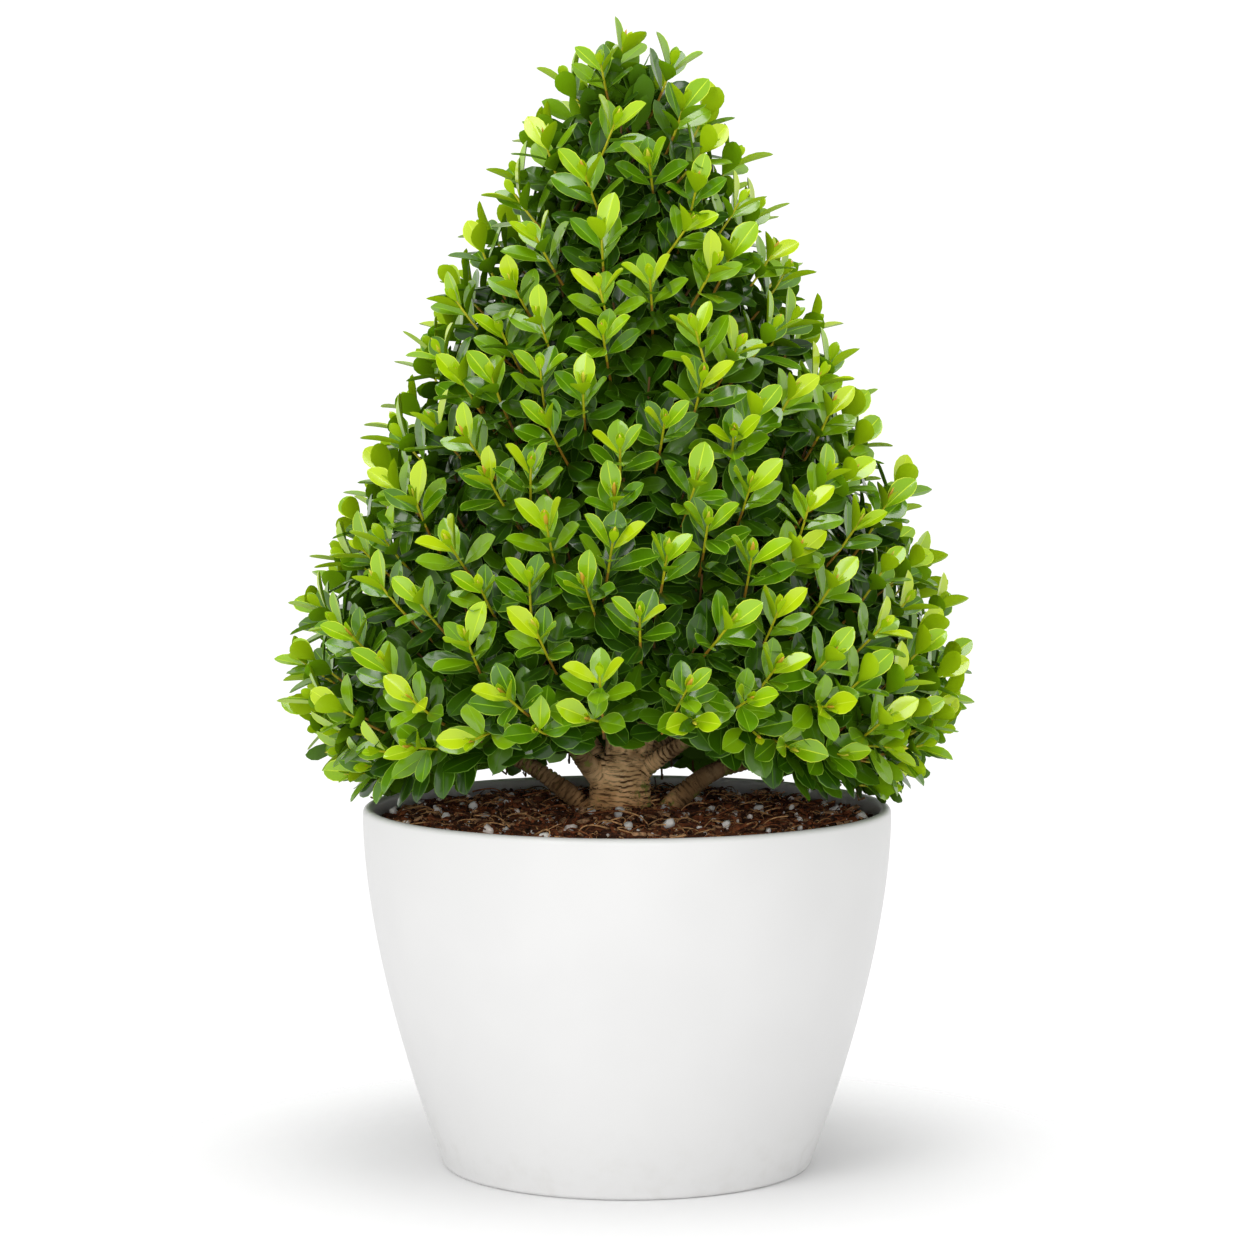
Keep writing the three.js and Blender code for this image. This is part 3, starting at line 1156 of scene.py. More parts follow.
def stem_tree(name, materials):
    """Turns lines with a stored thickness into round stems.

    materials is a list of (age from which it holds, material), the youngest first.
    """
    graph, given = new_tree(name, {"Sides": "Int"})
    lines = graph.node("GeometryNodeMeshToCurve", None, {"Mesh": given["Geometry"]})
    inputs = {"Resolution": given["Sides"], "Radius": 1.0}
    ring = graph.node("GeometryNodeCurvePrimitiveCircle", None, inputs)
    tube = graph.node(
        "GeometryNodeCurveToMesh",
        None,
        {
            "Curve": lines,
            "Profile Curve": ring,
            "Scale": graph.attribute("thickness"),
            "Fill Caps": True,
        },
    )
    tube = graph.node("GeometryNodeSetShadeSmooth", None, {"Geometry": tube})
    whole = graph.node("GeometryNodeRealizeInstances", None, {"Geometry": tube})
    age = graph.attribute("age")
    for from_age, material in materials:
        whole = graph.painted(whole, age.above(from_age), material)
    return graph.ended(whole)


def tubes(name, lines, sides, materials):
    """One joined piece of round stems. Each line is (points, thicknesses, ages)."""
    places, edges, thickness, ages = [], [], [], []
    for points, radii, age in lines:
        first = len(places)
        places += [tuple(p) for p in points]
        edges += [(first + i, first + i + 1) for i in range(len(points) - 1)]
        thickness += list(radii)
        ages += list(age)
    mesh = bpy.data.meshes.new(name + "_lines")
    mesh.from_pydata(places, edges, [])
    add_attribute(mesh, "thickness", "FLOAT", thickness)
    add_attribute(mesh, "age", "FLOAT", ages)
    return through_tree(name, mesh, stem_tree(name, materials), {"Sides": sides})


# ---- Settings -------------------------------------------------------------


class PlanterSettings(bpy.types.PropertyGroup):
    wall: FloatProperty(
        name="Wall", description="Thickness of the wall", default=6 * MM, unit="LENGTH"
    )
    segments: IntProperty(name="Segments", description="Steps round the planter", default=192)
    colour: FloatVectorProperty(
        name="Colour", description="Satin finish", subtype="COLOR", default=(0.69, 0.688, 0.684)
    )


class SoilSettings(bpy.types.PropertyGroup):
    roughness: FloatProperty(
        name="Lumpiness",
        description="Height of the soil's lumps",
        default=3.4 * MM,
        unit="LENGTH",
    )
    seed: IntProperty(name="Seed", description="Which scatter of litter", default=11)
    colour: FloatVectorProperty(
        name="Colour", description="Damp earth", subtype="COLOR", default=(0.27, 0.115, 0.056)
    )


class BarkSettings(bpy.types.PropertyGroup):
    relief: FloatProperty(
        name="Relief", description="Depth of the wrinkles", default=1.9 * MM, unit="LENGTH"
    )
    grain: FloatProperty(
        name="Grain", description="Size of the mesh's faces", default=0.73 * MM, unit="LENGTH"
    )
    colour: FloatVectorProperty(
        name="Colour", description="Bark", subtype="COLOR", default=(0.72, 0.455, 0.21)
    )
    # The grooves' colour. It is also used for the painted shade in the grooves and on the low
    # boughs.
    groove_and_shade: FloatVectorProperty(
        name="Groove", description="Bark's grooves", subtype="COLOR", default=(0.085, 0.042, 0.012)
    )
    moss: FloatVectorProperty(
        name="Moss", description="Specks of moss", subtype="COLOR", default=(0.17, 0.22, 0.03)
    )


class FoliageSettings(bpy.types.PropertyGroup):
    seed: IntProperty(name="Seed", description="Which way the plant grew", default=5)
    leaf_length: FloatProperty(
        name="Leaf", description="Length of a full leaf", default=24 * MM, unit="LENGTH"
    )
    shoot_spacing: FloatProperty(
        name="Spacing", description="Least gap between shoots", default=25.5 * MM, unit="LENGTH"
    )
    shoot_length: FloatProperty(
        name="Shoot", description="Leafy length of a shoot", default=82 * MM, unit="LENGTH"
    )
    inner_depth: FloatProperty(
        name="Inner depth",
        description="How far behind the outer shoots the shaded ones end",
        default=27 * MM,
        unit="LENGTH",
    )
    droop: FloatProperty(
        name="Droop",
        description="How far leaves may hang below the crown's lower face",
        default=2 * MM,
        unit="LENGTH",
    )
    stem_radius: FloatProperty(
        name="Stem", description="Radius of a green stem", default=0.75 * MM, unit="LENGTH"
    )


class StageSettings(bpy.types.PropertyGroup):
    distance: FloatProperty(
        name="Distance", description="Camera in front of the plant", default=2.1, unit="LENGTH"
    )
    height: FloatProperty(
        name="Height", description="Camera above the floor", default=0.458, unit="LENGTH"
    )
    tilt: FloatProperty(
        name="Tilt", description="Camera down", default=math.radians(4.41), subtype="ANGLE"
    )
    lens: FloatProperty(name="Lens", description="Focal length", default=110.3, unit="CAMERA")


# ---- Planter --------------------------------------------------------------


def lathe_mesh(name, profile, segments):
    """A turned shape whose profile starts and ends on the axis."""
    places = [(0, 0, profile[0][1])]
    rings = profile[1:-1]
    for radius, height in rings:
        places += [(radius * east, radius * north, height) for east, north in around(segments)]
    places.append((0, 0, profile[-1][1]))
    faces = band_faces(1, len(rings), segments)
    last = 1 + (len(rings) - 1) * segments
    for step in range(segments):
        after = (step + 1) % segments
        faces.append((0, 1 + after, 1 + step))
        faces.append((len(places) - 1, last + step, last + after))
    return mesh_object(name, places, faces)


def planter_side():
    """The planter's outside as a power curve through the frame's corners."""
    points = node_points("pot")
    heights, radii = points[:, 2].round(5), np.hypot(points[:, 0], points[:, 1])
    rows = [z for z in np.unique(heights) if FOOT_FILLET < z < BULGE_HEIGHT * 0.9]
    widest = np.array([radii[heights == z].max() for z in rows])
    outer = widest > POT_RADIUS * 0.66
    below = np.log(1 - np.array(rows)[outer] / BULGE_HEIGHT)
    inset = np.log(POT_RADIUS - widest[outer])
    power, taper = np.polyfit(below, inset, 1)
    return lambda z: POT_RADIUS - math.exp(taper) * max(0.0, 1 - z / BULGE_HEIGHT) ** power


def arc(centre, radius, start, end, steps):
    """Points of radius and height on an arc, its angles in degrees."""
    angles = np.radians(np.linspace(start, end, steps))
    return [(centre[0] + radius * math.cos(a), centre[1] + radius * math.sin(a)) for a in angles]


def planter_profile(wall):
    """Radius and height of the planter's section, from the middle of its foot to its floor."""
    outside = planter_side()
    floor = 7 * MM
    rim = wall / 2
    top = RIM_HEIGHT - rim
    heights = np.linspace(FOOT_FILLET + 0.5 * MM, top - 1 * MM, 44)
    foot = outside(FOOT_FILLET)
    return [
        (0, 0),
        (foot - FOOT_FILLET - 12 * MM, 0),
        *arc((foot - FOOT_FILLET, FOOT_FILLET), FOOT_FILLET, -90, -12, 6),
        *[(outside(z), z) for z in heights],
        *arc((POT_RADIUS - rim, top), rim, 0, 180, 15),
        *[(outside(z) - wall, z) for z in heights[::-1] if z > floor + 2 * MM],
        (outside(floor) - wall - 3 * MM, floor),
        (0, floor),
    ]


class TOPIARY_OT_planter(bpy.types.Operator):
    """Turn the round planter with its rounded rim and its solid foot"""

    bl_idname = "topiary.planter"
    bl_label = "Planter"

    def execute(self, context):
        size = context.scene.topiary_planter
        planter = lathe_mesh("planter", planter_profile(size.wall), size.segments)
        planter.data.materials.append(planter_material(size.colour))
        finish_piece(planter, ["pot"])
        return {"FINISHED"}


# ---- Soil -----------------------------------------------------------------


def soil_level(radius):
    """Height of the soil before its lumps: flat about the trunk, falling to the wall."""
    flat, fall, lumps = 30 * MM, 6 * MM, 1.2 * MM
    share = max(0.0, (radius - flat) / (SOIL_RADIUS - flat))
    return SOIL_HEIGHT - lumps - fall * share**1.2


def soil_places(radius_steps, sectors, lumpiness):
    """The soil's middle, then rings of lumpy places out to the planter's wall."""
    places = [(0.0, 0.0, soil_level(0))]
    for ring in range(1, radius_steps + 1):
        radius = SOIL_RADIUS * (ring / radius_steps) ** 0.85
        calm = min(1.0, (SOIL_RADIUS - radius) / (6 * MM))
        for east, north in around(sectors):
            x, y = radius * east, radius * north
            clods = fractal((x * 60, y * 60, 3.1), 4)
            grains = abs(fractal((x * 210, y * 210, 9.2), 2))
            lump = clods + 0.5 * grains
            places.append((x, y, soil_level(radius) + lumpiness * lump * (0.4 + 0.6 * calm)))
    return places


def soil_mesh(lumpiness):
    """The soil's lumpy top, closed below by its sides and bottom inside the planter."""
    steps, sectors = 90, 240
    places = soil_places(steps, sectors, lumpiness)
    faces = [(0, 1 + i, 1 + (i + 1) % sectors) for i in range(sectors)]
    faces += band_faces(1, steps, sectors, flip=True)
    top_edge = 1 + (steps - 1) * sectors
    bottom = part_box("soil")[0].z + 1 * MM
    foot = POT_RADIUS - 50 * MM
    first = len(places)
    places += [(foot * east, foot * north, bottom) for east, north in around(sectors)]
    for i in range(sectors):
        j = (i + 1) % sectors
        faces.append((top_edge + i, first + i, first + j, top_edge + j))
    faces.append(tuple(first + i for i in range(sectors))[::-1])
    return mesh_object("potting_soil", places, faces)


class TOPIARY_OT_soil(bpy.types.Operator):
    """Fill the planter with lumpy potting soil"""

    bl_idname = "topiary.soil"
    bl_label = "Soil"

    def execute(self, context):
        size = context.scene.topiary_soil
        soil = soil_mesh(size.roughness)
        soil.data.materials.append(soil_material(size.colour))
        finish_piece(soil, ["soil"])
        return {"FINISHED"}


def lump_prototype(name, rng, size, subdivisions=1):
    """An uneven stone-like lump about one unit across."""
    shape = bmesh.new()
    bmesh.ops.create_icosphere(shape, subdivisions=subdivisions, radius=0.5)
    offset = rng.uniform(0, 50, 3)
    for vertex in shape.verts:
        push = 1 + 0.45 * noise.noise(Vector(offset) + vertex.co * 3.2)
        vertex.co = Vector(a * b * push for a, b in zip(vertex.co, size, strict=True))
    bmesh.ops.recalc_face_normals(shape, faces=shape.faces)
    made = bmesh_object(name, shape)
    polygons = made.data.polygons
    polygons.foreach_set("use_smooth", [subdivisions > 1] * len(polygons))
    return made


def fibre_prototype(name, rng):
    """A thin curling strand about one unit long."""
    count, sides = 9, 4
    bend = rng.uniform(0.8, 2.6)
    lift = rng.uniform(0.05, 0.3)
    t = np.linspace(0, 1, count)
    line = np.stack([np.sin(bend * t), t * np.cos(bend * t * 0.7), lift * np.sin(np.pi * t)], 1)
    line -= line.mean(0) * [1, 1, 0]
    line /= 2 * np.linalg.norm(line, axis=1).max()
    places = []
    for i, point in enumerate(line):
        way = unit(line[min(i + 1, count - 1)] - line[max(i - 1, 0)])
        side = square_to(np.array([0.3, 0.2, 1.0]), way)
        radius = 0.024 * (1 - 0.6 * t[i])
        places += ring_places(point, radius, side, np.cross(way, side), sides)
    return mesh_object(name, places, tube_faces(count, sides))


def litter_tree(name, materials):
    """Scatters shapes over the soil with its own seed, and deals the materials out at random."""
    floats = dict.fromkeys(("Gap", "Density", "Smallest", "Largest", "Lift", "Lean"), "Float")
    graph, given = new_tree(name, {"Shapes": "Collection", **floats, "Seed": "Int"})

    def chance(kind, low, high, salt):
        """A random value for each point: a number, a whole number or a vector."""
        number, ending = {"FLOAT_VECTOR": (0, ""), "FLOAT": (1, "_001"), "INT": (2, "_002")}[kind]
        made = graph.node("FunctionNodeRandomValue", {"data_type": kind}).output.node
        sockets = {socket.identifier: socket for socket in made.inputs}
        graph.feed(sockets["Min" + ending], low)
        graph.feed(sockets["Max" + ending], high)
        graph.feed(sockets["Seed"], given["Seed"] + float(salt))
        return Socket(graph, made.outputs[number])

    spread = graph.node(
        "GeometryNodeDistributePointsOnFaces",
        {"distribute_method": "POISSON"},
        {
            "Mesh": given["Geometry"],
            "Distance Min": given["Gap"],
            "Density Max": given["Density"],
            "Seed": given["Seed"],
        },
    )
    raised = graph.node("ShaderNodeCombineXYZ", None, {"Z": given["Lift"]})
    spread = graph.node("GeometryNodeSetPosition", None, {"Geometry": spread, "Offset": raised})
    lean = given["Lean"]
    low = graph.node("ShaderNodeCombineXYZ", None, {"X": lean * -1.0, "Y": lean * -1.0, "Z": 0.0})
    high = graph.node("ShaderNodeCombineXYZ", None, {"X": lean, "Y": lean, "Z": 2 * math.pi})
    angles = chance("FLOAT_VECTOR", low, high, 1)
    turned = graph.node("FunctionNodeEulerToRotation", None, {"Euler": angles})
    share = chance("FLOAT", 0.0, 1.0, 2) ** 2.0
    sized = given["Smallest"] + (given["Largest"] - given["Smallest"]) * share
    shape = chance("INT", 0, LITTER_SHAPES - 1, 3)
    placed = graph.instances(spread, given["Shapes"], shape, turned, sized)
    marked = graph.node(
        "GeometryNodeStoreNamedAttribute",
        {"data_type": "INT", "domain": "INSTANCE"},
        {"Geometry": placed, "Name": "tone", "Value": chance("INT", 0, len(materials) - 1, 4)},
    )
    whole = graph.node("GeometryNodeRealizeInstances", None, {"Geometry": marked})
    tone = graph.attribute("tone", "INT")
    for index, material in enumerate(materials):
        whole = graph.painted(whole, tone == float(index), material)
    return graph.ended(whole)


# How each kind of litter is strewn: its least gap, how many to a square metre at most, its
# smallest and largest size, how high it lies and how far it leans, in millimetres and radians.
STREWN = {
    "bark_chips": (3.6, 60000.0, 4, 13, 0.6, 0.5),
    "soil_crumbs": (2.2, 120000.0, 1.4, 4, 0.5, 1.5),
    "coir_fibres": (5.0, 40000.0, 9, 24, 1.6, 0.45),
    "perlite": (16, 4500.0, 3.0, 8.5, 1.4, 3.0),
    "perlite_specks": (6, 9000.0, 0.9, 2.6, 1.4, 3.0),
}


def scatter(name, shapes, materials):
    """One joined piece of litter on the soil's top, clear of the planter's wall."""
    gap, density, smallest, largest, lift, lean = STREWN[name]
    spread = SOIL_RADIUS - largest * MM * 0.55
    ground = bmesh.new()
    ground.from_mesh(bpy.data.objects["potting_soil"].data)
    level = SOIL_HEIGHT - 14 * MM
    hidden = [f for f in ground.faces if f.calc_center_median().z < level or len(f.verts) > 4]
    bmesh.ops.delete(ground, geom=hidden, context="FACES")
    bmesh.ops.delete(
        ground,
        geom=[f for f in ground.faces if Vector(f.calc_center_median().xy).length > spread],
        context="FACES",
    )
    mesh = bpy.data.meshes.new(name + "_ground")
    ground.to_mesh(mesh)
    ground.free()
    held = prototype_collection(name + "_shapes", shapes)
    values = {
        "Shapes": held,
        "Gap": gap * MM,
        "Density": density,
        "Smallest": smallest * MM,
        "Largest": largest * MM,
        "Lift": lift * MM,
        "Lean": lean,
        "Seed": bpy.context.scene.topiary_soil.seed,
    }
    piece = through_tree(name, mesh, litter_tree(name, materials), values)
    remove_prototypes(held)
    return finish_piece(piece)


class TOPIARY_OT_litter(bpy.types.Operator):
    """Scatter bark chips, crumbs, curling fibres and white perlite over the soil"""

    bl_idname = "topiary.litter"
    bl_label = "Soil Litter"

    def execute(self, context):
        rng = np.random.default_rng(context.scene.topiary_soil.seed)
        browns = [
            litter_material("chip_dark", srgb(74, 42, 26)),
            litter_material("chip_brown", srgb(128, 74, 44)),
            litter_material("chip_red", srgb(162, 92, 54)),
            litter_material("chip_tan", srgb(222, 172, 128)),
        ]
        shapes = range(LITTER_SHAPES)
        flat = [(1.0, rng.uniform(0.35, 0.6), rng.uniform(0.2, 0.34)) for _ in shapes]
        chips = [lump_prototype(f"chip_{i}", rng, flat[i]) for i in shapes]
        scatter("bark_chips", chips, browns)
        crumbs = [lump_prototype(f"crumb_{i}", rng, (1, 0.8, 0.7)) for i in shapes]
        scatter("soil_crumbs", crumbs, browns[:3])
        strands = [
            litter_material("fibre_orange", srgb(240, 184, 126)),
            litter_material("fibre_brown", srgb(164, 100, 58)),
            litter_material("fibre_dark", srgb(92, 52, 32)),
        ]
        fibres = [fibre_prototype(f"fibre_{i}", rng) for i in shapes]
        scatter("coir_fibres", fibres, strands)
        whites = [
            plain_material("perlite_white", srgb(252, 248, 243), 0.7),
            plain_material("perlite_pink", srgb(247, 234, 226), 0.7),
        ]
        perlite = [lump_prototype(f"perlite_{i}", rng, (1, 0.85, 0.7), 2) for i in shapes]
        scatter("perlite", perlite, whites)
        specks = [lump_prototype(f"speck_{i}", rng, (1, 0.85, 0.7)) for i in shapes]
        scatter("perlite_specks", specks, whites)
        return {"FINISHED"}


# ---- Trunk and boughs -----------------------------------------------------


def tube_mesh(points, radii, sides=20):
    """Places and faces of a closed round tube."""
    places = []
    side = square_to(np.array([0.31, 0.22, 0.93]), unit(points[1] - points[0]))
    for i, point in enumerate(points):
        way = unit(points[min(i + 1, len(points) - 1)] - points[max(i - 1, 0)])
        side = square_to(side, way)
        places += ring_places(point, radii[i], side, np.cross(way, side), sides)
    return places, tube_faces(len(points), sides)


def bark_lines():
    """Centre lines and radii of all that wears the bark: the trunk, then every bough.

    A bough starts inside what it springs from and runs on into the crown.
    """
    tree = skeleton()
    trunk = node_points("trunk")
    heights = np.linspace(trunk[:, 2].min() - 4 * MM, trunk[:, 2].max(), 12)
    middle = []
    for z in heights:
        near = trunk[np.abs(trunk[:, 2] - z) < 5 * MM]
        middle.append([near[:, 0].mean(), near[:, 1].mean(), z])
    reach = np.hypot(trunk[:, 0] - middle[0][0], trunk[:, 1])
    lines = [(np.array(middle), np.full(len(heights), np.median(reach)))]
    for index, limb in enumerate(limbs()):
        grown = tree.chains[2 * index + 1][1:5]
        onward = np.array([tree.place[i] for i in grown])
        fade = np.linspace(1, 0, len(onward) + 1)[1:]
        radii = mix(tree.radius[grown], limb.radii[-1], fade)
        radii = np.concatenate([limb.radii, radii]) * (0.86 if limb.points[0][2] < 0.2 else 1.0)
        lines.append((np.vstack([limb.points, onward]), radii))
    return lines


def fused_bark(lines, grain):
    """The trunk's own solid and the boughs run together into one skin."""
    shape = bmesh.new()
    shape.from_mesh(frame["nodes"]["trunk"].data)
    bmesh.ops.remove_doubles(shape, verts=shape.verts, dist=0.01 * MM)
    foot = [vertex for vertex in shape.verts if vertex.co.z < SOIL_HEIGHT + 1 * MM]
    for vertex in foot:
        vertex.co.z -= 5 * MM
    for points, radii in lines[1:]:
        places, faces = tube_mesh(points, radii)
        made = [shape.verts.new(tuple(p)) for p in places]
        for face in faces:
            shape.faces.new([made[i] for i in face])
    bmesh.ops.recalc_face_normals(shape, faces=shape.faces)
    host = bmesh_object("bark_rough", shape)
    remesh = host.modifiers.new("fuse", "REMESH")
    remesh.mode = "VOXEL"
    remesh.voxel_size = grain
    soften = host.modifiers.new("soften", "SMOOTH")
    soften.factor = 0.5
    soften.iterations = 6
    return baked_down(host, "trunk_and_boughs")


def wrinkle(place, along):
    """Height of wavy rings that run across a limb, from 0 in a furrow to 1 on a ridge."""
    wave = 1.5 * MM * noise.noise(place * 80) + 0.7 * MM * noise.noise(place * 280)
    ring_gap = 2.9 * MM
    row = (along + wave) / ring_gap
    ring = min(1.0, 1.5 * abs(math.sin(math.pi * row)))
    kept = min(1.0, max(0.0, 0.7 + 1.5 * noise.noise(place * 120 + Vector((7, 3, 1)))))
    lumps = 0.5 + 0.5 * noise.noise(place * 260)
    return mix(1.0, ring, kept) * 0.75 + 0.25 * lumps


def carve_bark(piece, lines, depth):
    """Pushes the skin in and out by its wrinkles and keeps their height for the colours."""
    mesh = piece.data
    count = len(mesh.vertices)
    places = np.empty(count * 3)
    normals = np.empty(count * 3)
    mesh.vertices.foreach_get("co", places)
    mesh.vertex_normals.foreach_get("vector", normals)
    places, normals = places.reshape(-1, 3), normals.reshape(-1, 3)
    nearest = np.full(count, np.inf)
    along = np.zeros(count)
    start_gap = 0.37
    for number, (points, radii) in enumerate(lines):
        run = np.concatenate([[0], np.cumsum(np.linalg.norm(np.diff(points, axis=0), axis=1))])
        for i in range(len(points) - 1):
            step = points[i + 1] - points[i]
            t = np.clip((places - points[i]) @ step / (step @ step), 0, 1)
            off = np.linalg.norm(places - points[i] - t[:, None] * step, axis=1) / radii[i]
            closer = off < nearest
            nearest[closer] = off[closer]
            along[closer] = run[i] + t[closer] * (run[i + 1] - run[i]) + number * start_gap
    relief = np.array([wrinkle(Vector(p), a) for p, a in zip(places, along, strict=True)])
    places += normals * (relief[:, None] - 1.0) * depth
    mesh.vertices.foreach_set("co", places.ravel())
    add_attribute(mesh, "relief", "FLOAT", relief)
    add_attribute(mesh, "along", "FLOAT", along)
    mesh.polygons.foreach_set("use_smooth", [True] * len(mesh.polygons))
    mesh.update()


class TOPIARY_OT_limbs(bpy.types.Operator):
    """Fuse the trunk and boughs into one skin and carve the bark's wrinkles"""

    bl_idname = "topiary.limbs"
    bl_label = "Trunk and Boughs"

    def execute(self, context):
        size = context.scene.topiary_bark
        lines = bark_lines()
        bark = fused_bark(lines, size.grain)
        carve_bark(bark, lines, size.relief)
        bark.data.materials.clear()
        bark.data.materials.append(bark_material(size.colour, size.groove_and_shade, size.moss))
        finish_piece(bark, ["trunk", *BOUGH_ROUTES])
        return {"FINISHED"}


# ---- Twigs, stems, leaves and buds ----------------------------------------


def twig_lines():
    """Every branch inside the crown, with its thickness and age."""
    tree = skeleton()
    lines = []
    for number, chain in enumerate(tree.chains):
        wears_bark = number < 2 * len(limbs()) and number % 2 == 0
        if wears_bark:
            continue
        points = np.array([tree.place[i] for i in chain])
        radii = tree.radius[chain].copy()
        radii[0] = min(radii[0], radii[1] * 1.25)
        lines.append((points, radii, np.linspace(1, 0.9, len(points))))
    return lines


def shoot_lines():
    """The leafy shoots: thin and green at the tip, thicker and browner below."""
    lines = []
    for shoot in shoots():
        count = len(shoot.points)
        age = np.linspace(1, 0, count) if shoot.outer else np.full(count, 0.8)
        radii = foliage().stem_radius * mix(0.8, 1.25, np.linspace(1, 0, count))
        lines.append((shoot.points, radii, age))
    return lines


class TOPIARY_OT_twigs(bpy.types.Operator):
    """Grow the boughs on into twigs, and the twigs into leafy shoots"""

    bl_idname = "topiary.twigs"
    bl_label = "Twigs and Stems"

    def execute(self, context):
        wood = plain_material("twig_brown", srgb(104, 78, 52), 0.8)
        brown = plain_material("stem_brown", srgb(108, 78, 36), 0.6)
        orange = plain_material("stem_orange", srgb(166, 126, 34), 0.5)
        green = plain_material("stem_green", srgb(188, 184, 28), 0.42)
        twigs = tubes("twigs", twig_lines(), sides=7, materials=[(-1.0, wood)])
        finish_piece(twigs)
        aged = [(-1.0, green), (0.28, orange), (0.55, brown)]
        stems = tubes("shoot_stems", shoot_lines(), sides=6, materials=aged)
        finish_piece(stems)
        return {"FINISHED"}


TONES = {
    "new": [srgb(162, 197, 6), srgb(144, 186, 4), srgb(128, 172, 4), srgb(178, 204, 14)],
    "green": [srgb(106, 150, 2), srgb(86, 134, 2), srgb(74, 118, 2), srgb(122, 164, 4)],
    "dark": [srgb(50, 88, 2), srgb(38, 74, 2), srgb(40, 74, 8), srgb(66, 104, 4)],
}
EDGES = {
    "new": (srgb(206, 226, 66), srgb(194, 220, 46), srgb(160, 194, 10)),
    "green": (srgb(160, 196, 66), srgb(134, 180, 34), srgb(122, 168, 8)),
    "dark": (srgb(106, 146, 52), srgb(76, 118, 22), srgb(80, 122, 12)),
}
GLOSS = {"new": (0.3, 0.9), "green": (0.3, 0.9), "dark": (0.3, 0.5)}
LEAF_SHINE = 0.2


def leaf_materials(kind):
    """The blade's four tones, then the pale rim, midrib and underside."""
    rough, coat = GLOSS[kind]
    rim, rib, under = EDGES[kind]
    dealt = [
        (BLADE, tone, plain_material(f"leaf_{kind}_{tone}", colour, rough, coat, LEAF_SHINE))
        for tone, colour in enumerate(TONES[kind])
    ]
    for zone, title, colour in ((RIM, "rim", rim), (RIB, "rib", rib), (UNDERSIDE, "under", under)):
        finish = plain_material(f"leaf_{kind}_{title}", colour, 0.45, 0.0, LEAF_SHINE)
        dealt.append((zone, None, finish))
    return dealt


def leaf_shapes(kind):
    """The shapes of one kind of leaf. Old ones lie deep in shade and need fewer faces."""
    number = KINDS.index(kind)
    rng = np.random.default_rng(LEAF_SEED + number)
    rows = 6 if kind == "dark" else 7
    made = [leaf_prototype(f"{kind}_{i}", rng, rows, number) for i in range(LEAF_SHAPES)]
    return prototype_collection(f"{kind}_shapes", made)


class TOPIARY_OT_leaves(bpy.types.Operator):
    """Set new, green and dark leaves in opposite pairs along the shoots"""

    bl_idname = "topiary.leaves"
    bl_label = "Leaves"

    def execute(self, context):
        for number, kind in enumerate(KINDS):
            items = [leaf for leaf in leaves() if leaf.kind == number]
            shapes = leaf_shapes(kind)
            parts = math.ceil(len(items) * self.most_triangles(shapes) / LARGEST_PIECE)
            materials = leaf_materials(kind)
            items.sort(key=lambda leaf: leaf.place[2])
            for part in range(parts):
                share = items[part * len(items) // parts : (part + 1) * len(items) // parts]
                name = f"leaves_{kind}" + (f"_{part + 1}" if parts > 1 else "")
                piece = set_out(name, share, shapes, materials)
                replaced = ["clipped_crown"] if kind == "new" and part == 0 else []
                finish_piece(piece, replaced)
            remove_prototypes(shapes)
        return {"FINISHED"}

    @staticmethod
    def most_triangles(shapes):
        """The triangles of the shape that has the most of them."""
        for shape in shapes.objects:
            shape.data.calc_loop_triangles()
        return max(len(shape.data.loop_triangles) for shape in shapes.objects)


class TOPIARY_OT_buds(bpy.types.Operator):
    """Set a small yellow bud in the tip of every outer shoot"""

    bl_idname = "topiary.buds"
    bl_label = "Buds"

    def execute(self, context):
        rng = growth_rng(4)
        shapes = [bud_prototype(f"bud_{i}", rng) for i in range(LEAF_SHAPES)]
        held = prototype_collection("bud_shapes", shapes)
        items = []
        for shoot in shoots():
            if shoot.outer:
                way = shoot.direction
                face = square_to(shoot.level, way)
                length = rng.uniform(6.0, 10.0) * MM
                tone = rng.integers(0, 2)
                shape = rng.integers(0, LEAF_SHAPES)
                items.append(Leaf(shoot.tip, way, face, length, 0, tone, shape))
        yellow = plain_material("bud_yellow", srgb(206, 196, 60), 0.42)
        orange = plain_material("bud_orange", srgb(206, 158, 52), 0.42)
        piece = set_out("buds", items, held, [(BLADE, 0, yellow), (BLADE, 1, orange)])
        finish_piece(piece)
        remove_prototypes(held)
        return {"FINISHED"}


# ---- Stage ----------------------------------------------------------------


def area_light(name, place, target, size, watts):
    """A round soft light that looks at a target."""
    lamp = bpy.data.lights.new(name, "AREA")
    lamp.shape = "DISK"
    lamp.size = size
    lamp.energy = watts
    holder = add_object(name, lamp)
    holder.location = place
    aim = Vector(target) - Vector(place)
    holder.rotation_euler = aim.to_track_quat("-Z", "Y").to_euler()


def studio_world(low, high):
    """Bright all round the horizon and below it, and dimmer overhead."""
    world = bpy.data.worlds.new("studio")
    bpy.context.scene.world = world
    world.use_nodes = True
    graph = Graph(world.node_tree)
    way = graph.node("ShaderNodeTexCoord", None, None, output="Generated")
    strength = low - graph.height(way).between(0.15, 0.55) * (low - high)
    inputs = {"Color": (1, 1, 1, 1), "Strength": strength}
    glow = graph.node("ShaderNodeBackground", None, inputs)
    graph.node("ShaderNodeOutputWorld", None, {"Surface": glow})


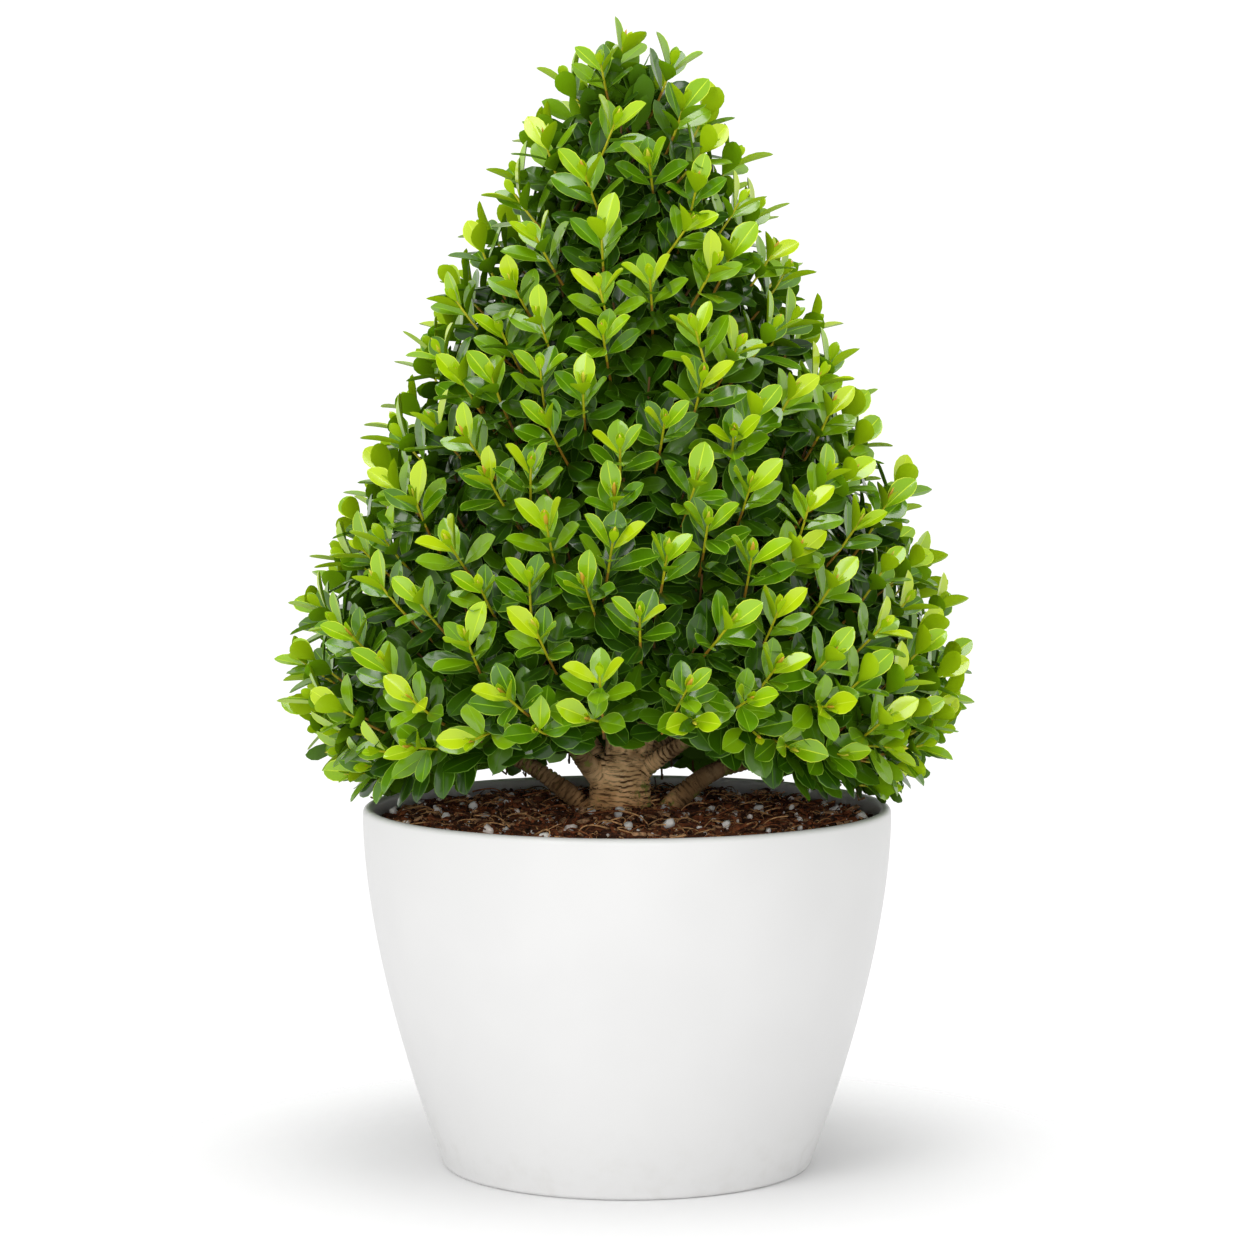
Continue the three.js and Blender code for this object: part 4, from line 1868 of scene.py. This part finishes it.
def floor_material():
    """Pale and matt, fading into the bright surround with distance."""
    surface = Surface("floor_pale")
    surface.set(Base_Color=(0.83, 0.83, 0.83, 1), Roughness=0.85, Specular_IOR_Level=0.1)
    graph = surface.graph
    clear = graph.node("ShaderNodeBsdfTransparent")
    share = graph.length(surface.place).between(0.06, 0.38)
    inputs = {"Fac": share, 1: surface.output, 2: clear}
    faded = graph.node("ShaderNodeMixShader", None, inputs)
    graph.tree.links.new(faded.output, graph.tree.nodes["Material Output"].inputs["Surface"])
    return surface.material


class TOPIARY_OT_stage(bpy.types.Operator):
    """Set up the pale floor, the soft studio light and the camera"""

    bl_idname = "topiary.stage"
    bl_label = "Stage"

    def execute(self, context):
        size = context.scene.topiary_stage
        edge = 1.6
        corners = [(-edge, -edge, 0), (edge, -edge, 0), (edge, edge, 0), (-edge, edge, 0)]
        floor = mesh_object("floor", corners, [(0, 1, 2, 3)], smooth=False)
        floor.data.materials.append(floor_material())
        floor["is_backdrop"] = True
        studio_world(low=1.1, high=0.56)
        area_light("key", (-1.3, -1.9, 1.75), (0, 0, 0.3), size=1.4, watts=23)
        area_light("fill", (0.3, -2.45, 0.5), (0, 0, 0.2), size=1.0, watts=10)
        area_light("top", (0.1, -0.5, 2.5), (0, 0, 0.3), size=1.3, watts=23)
        view = bpy.data.cameras.new("camera")
        view.sensor_width = 36
        view.lens = size.lens
        view.clip_start = 0.05
        camera = add_object("camera", view)
        camera.location = (0, -size.distance, size.height)
        camera.rotation_euler = (math.pi / 2 - size.tilt, 0, 0)
        context.scene.camera = camera
        context.scene.view_settings.view_transform = "Standard"
        return {"FINISHED"}


# ---- Add-on ---------------------------------------------------------------


SETTINGS = {
    "topiary_planter": PlanterSettings,
    "topiary_soil": SoilSettings,
    "topiary_bark": BarkSettings,
    "topiary_foliage": FoliageSettings,
    "topiary_stage": StageSettings,
}
OPERATORS = (
    TOPIARY_OT_stage,
    TOPIARY_OT_planter,
    TOPIARY_OT_soil,
    TOPIARY_OT_litter,
    TOPIARY_OT_limbs,
    TOPIARY_OT_twigs,
    TOPIARY_OT_leaves,
    TOPIARY_OT_buds,
)


class TOPIARY_PT_panel(bpy.types.Panel):
    """Lists the plant's parts and their sizes"""

    bl_idname = "TOPIARY_PT_panel"
    bl_label = "Potted Boxwood Cone"
    bl_space_type = "VIEW_3D"
    bl_region_type = "UI"
    bl_category = "Topiary"

    def draw(self, context):
        for operator in OPERATORS:
            self.layout.operator(operator.bl_idname)
        for name, group in SETTINGS.items():
            box = self.layout.box()
            for setting in group.__annotations__:
                box.prop(getattr(context.scene, name), setting)


def register():
    """Adds the settings, the operators and the panel."""
    for group in SETTINGS.values():
        bpy.utils.register_class(group)
    for name, group in SETTINGS.items():
        setattr(bpy.types.Scene, name, PointerProperty(type=group))
    for operator in OPERATORS:
        bpy.utils.register_class(operator)
    bpy.utils.register_class(TOPIARY_PT_panel)


def unregister():
    """Takes away the panel, the operators and the settings."""
    bpy.utils.unregister_class(TOPIARY_PT_panel)
    for operator in reversed(OPERATORS):
        bpy.utils.unregister_class(operator)
    for name, group in SETTINGS.items():
        delattr(bpy.types.Scene, name)
        bpy.utils.unregister_class(group)


def main():
    """Builds every piece in order."""
    register()
    for operator in OPERATORS:
        group, name = operator.bl_idname.split(".")
        getattr(getattr(bpy.ops, group), name)()
    sizes = {
        "cad": [list(corner) for corner in CAD_BOX],
        "visual": [list(corner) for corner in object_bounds()],
    }


if __name__ == "__main__":
    main()
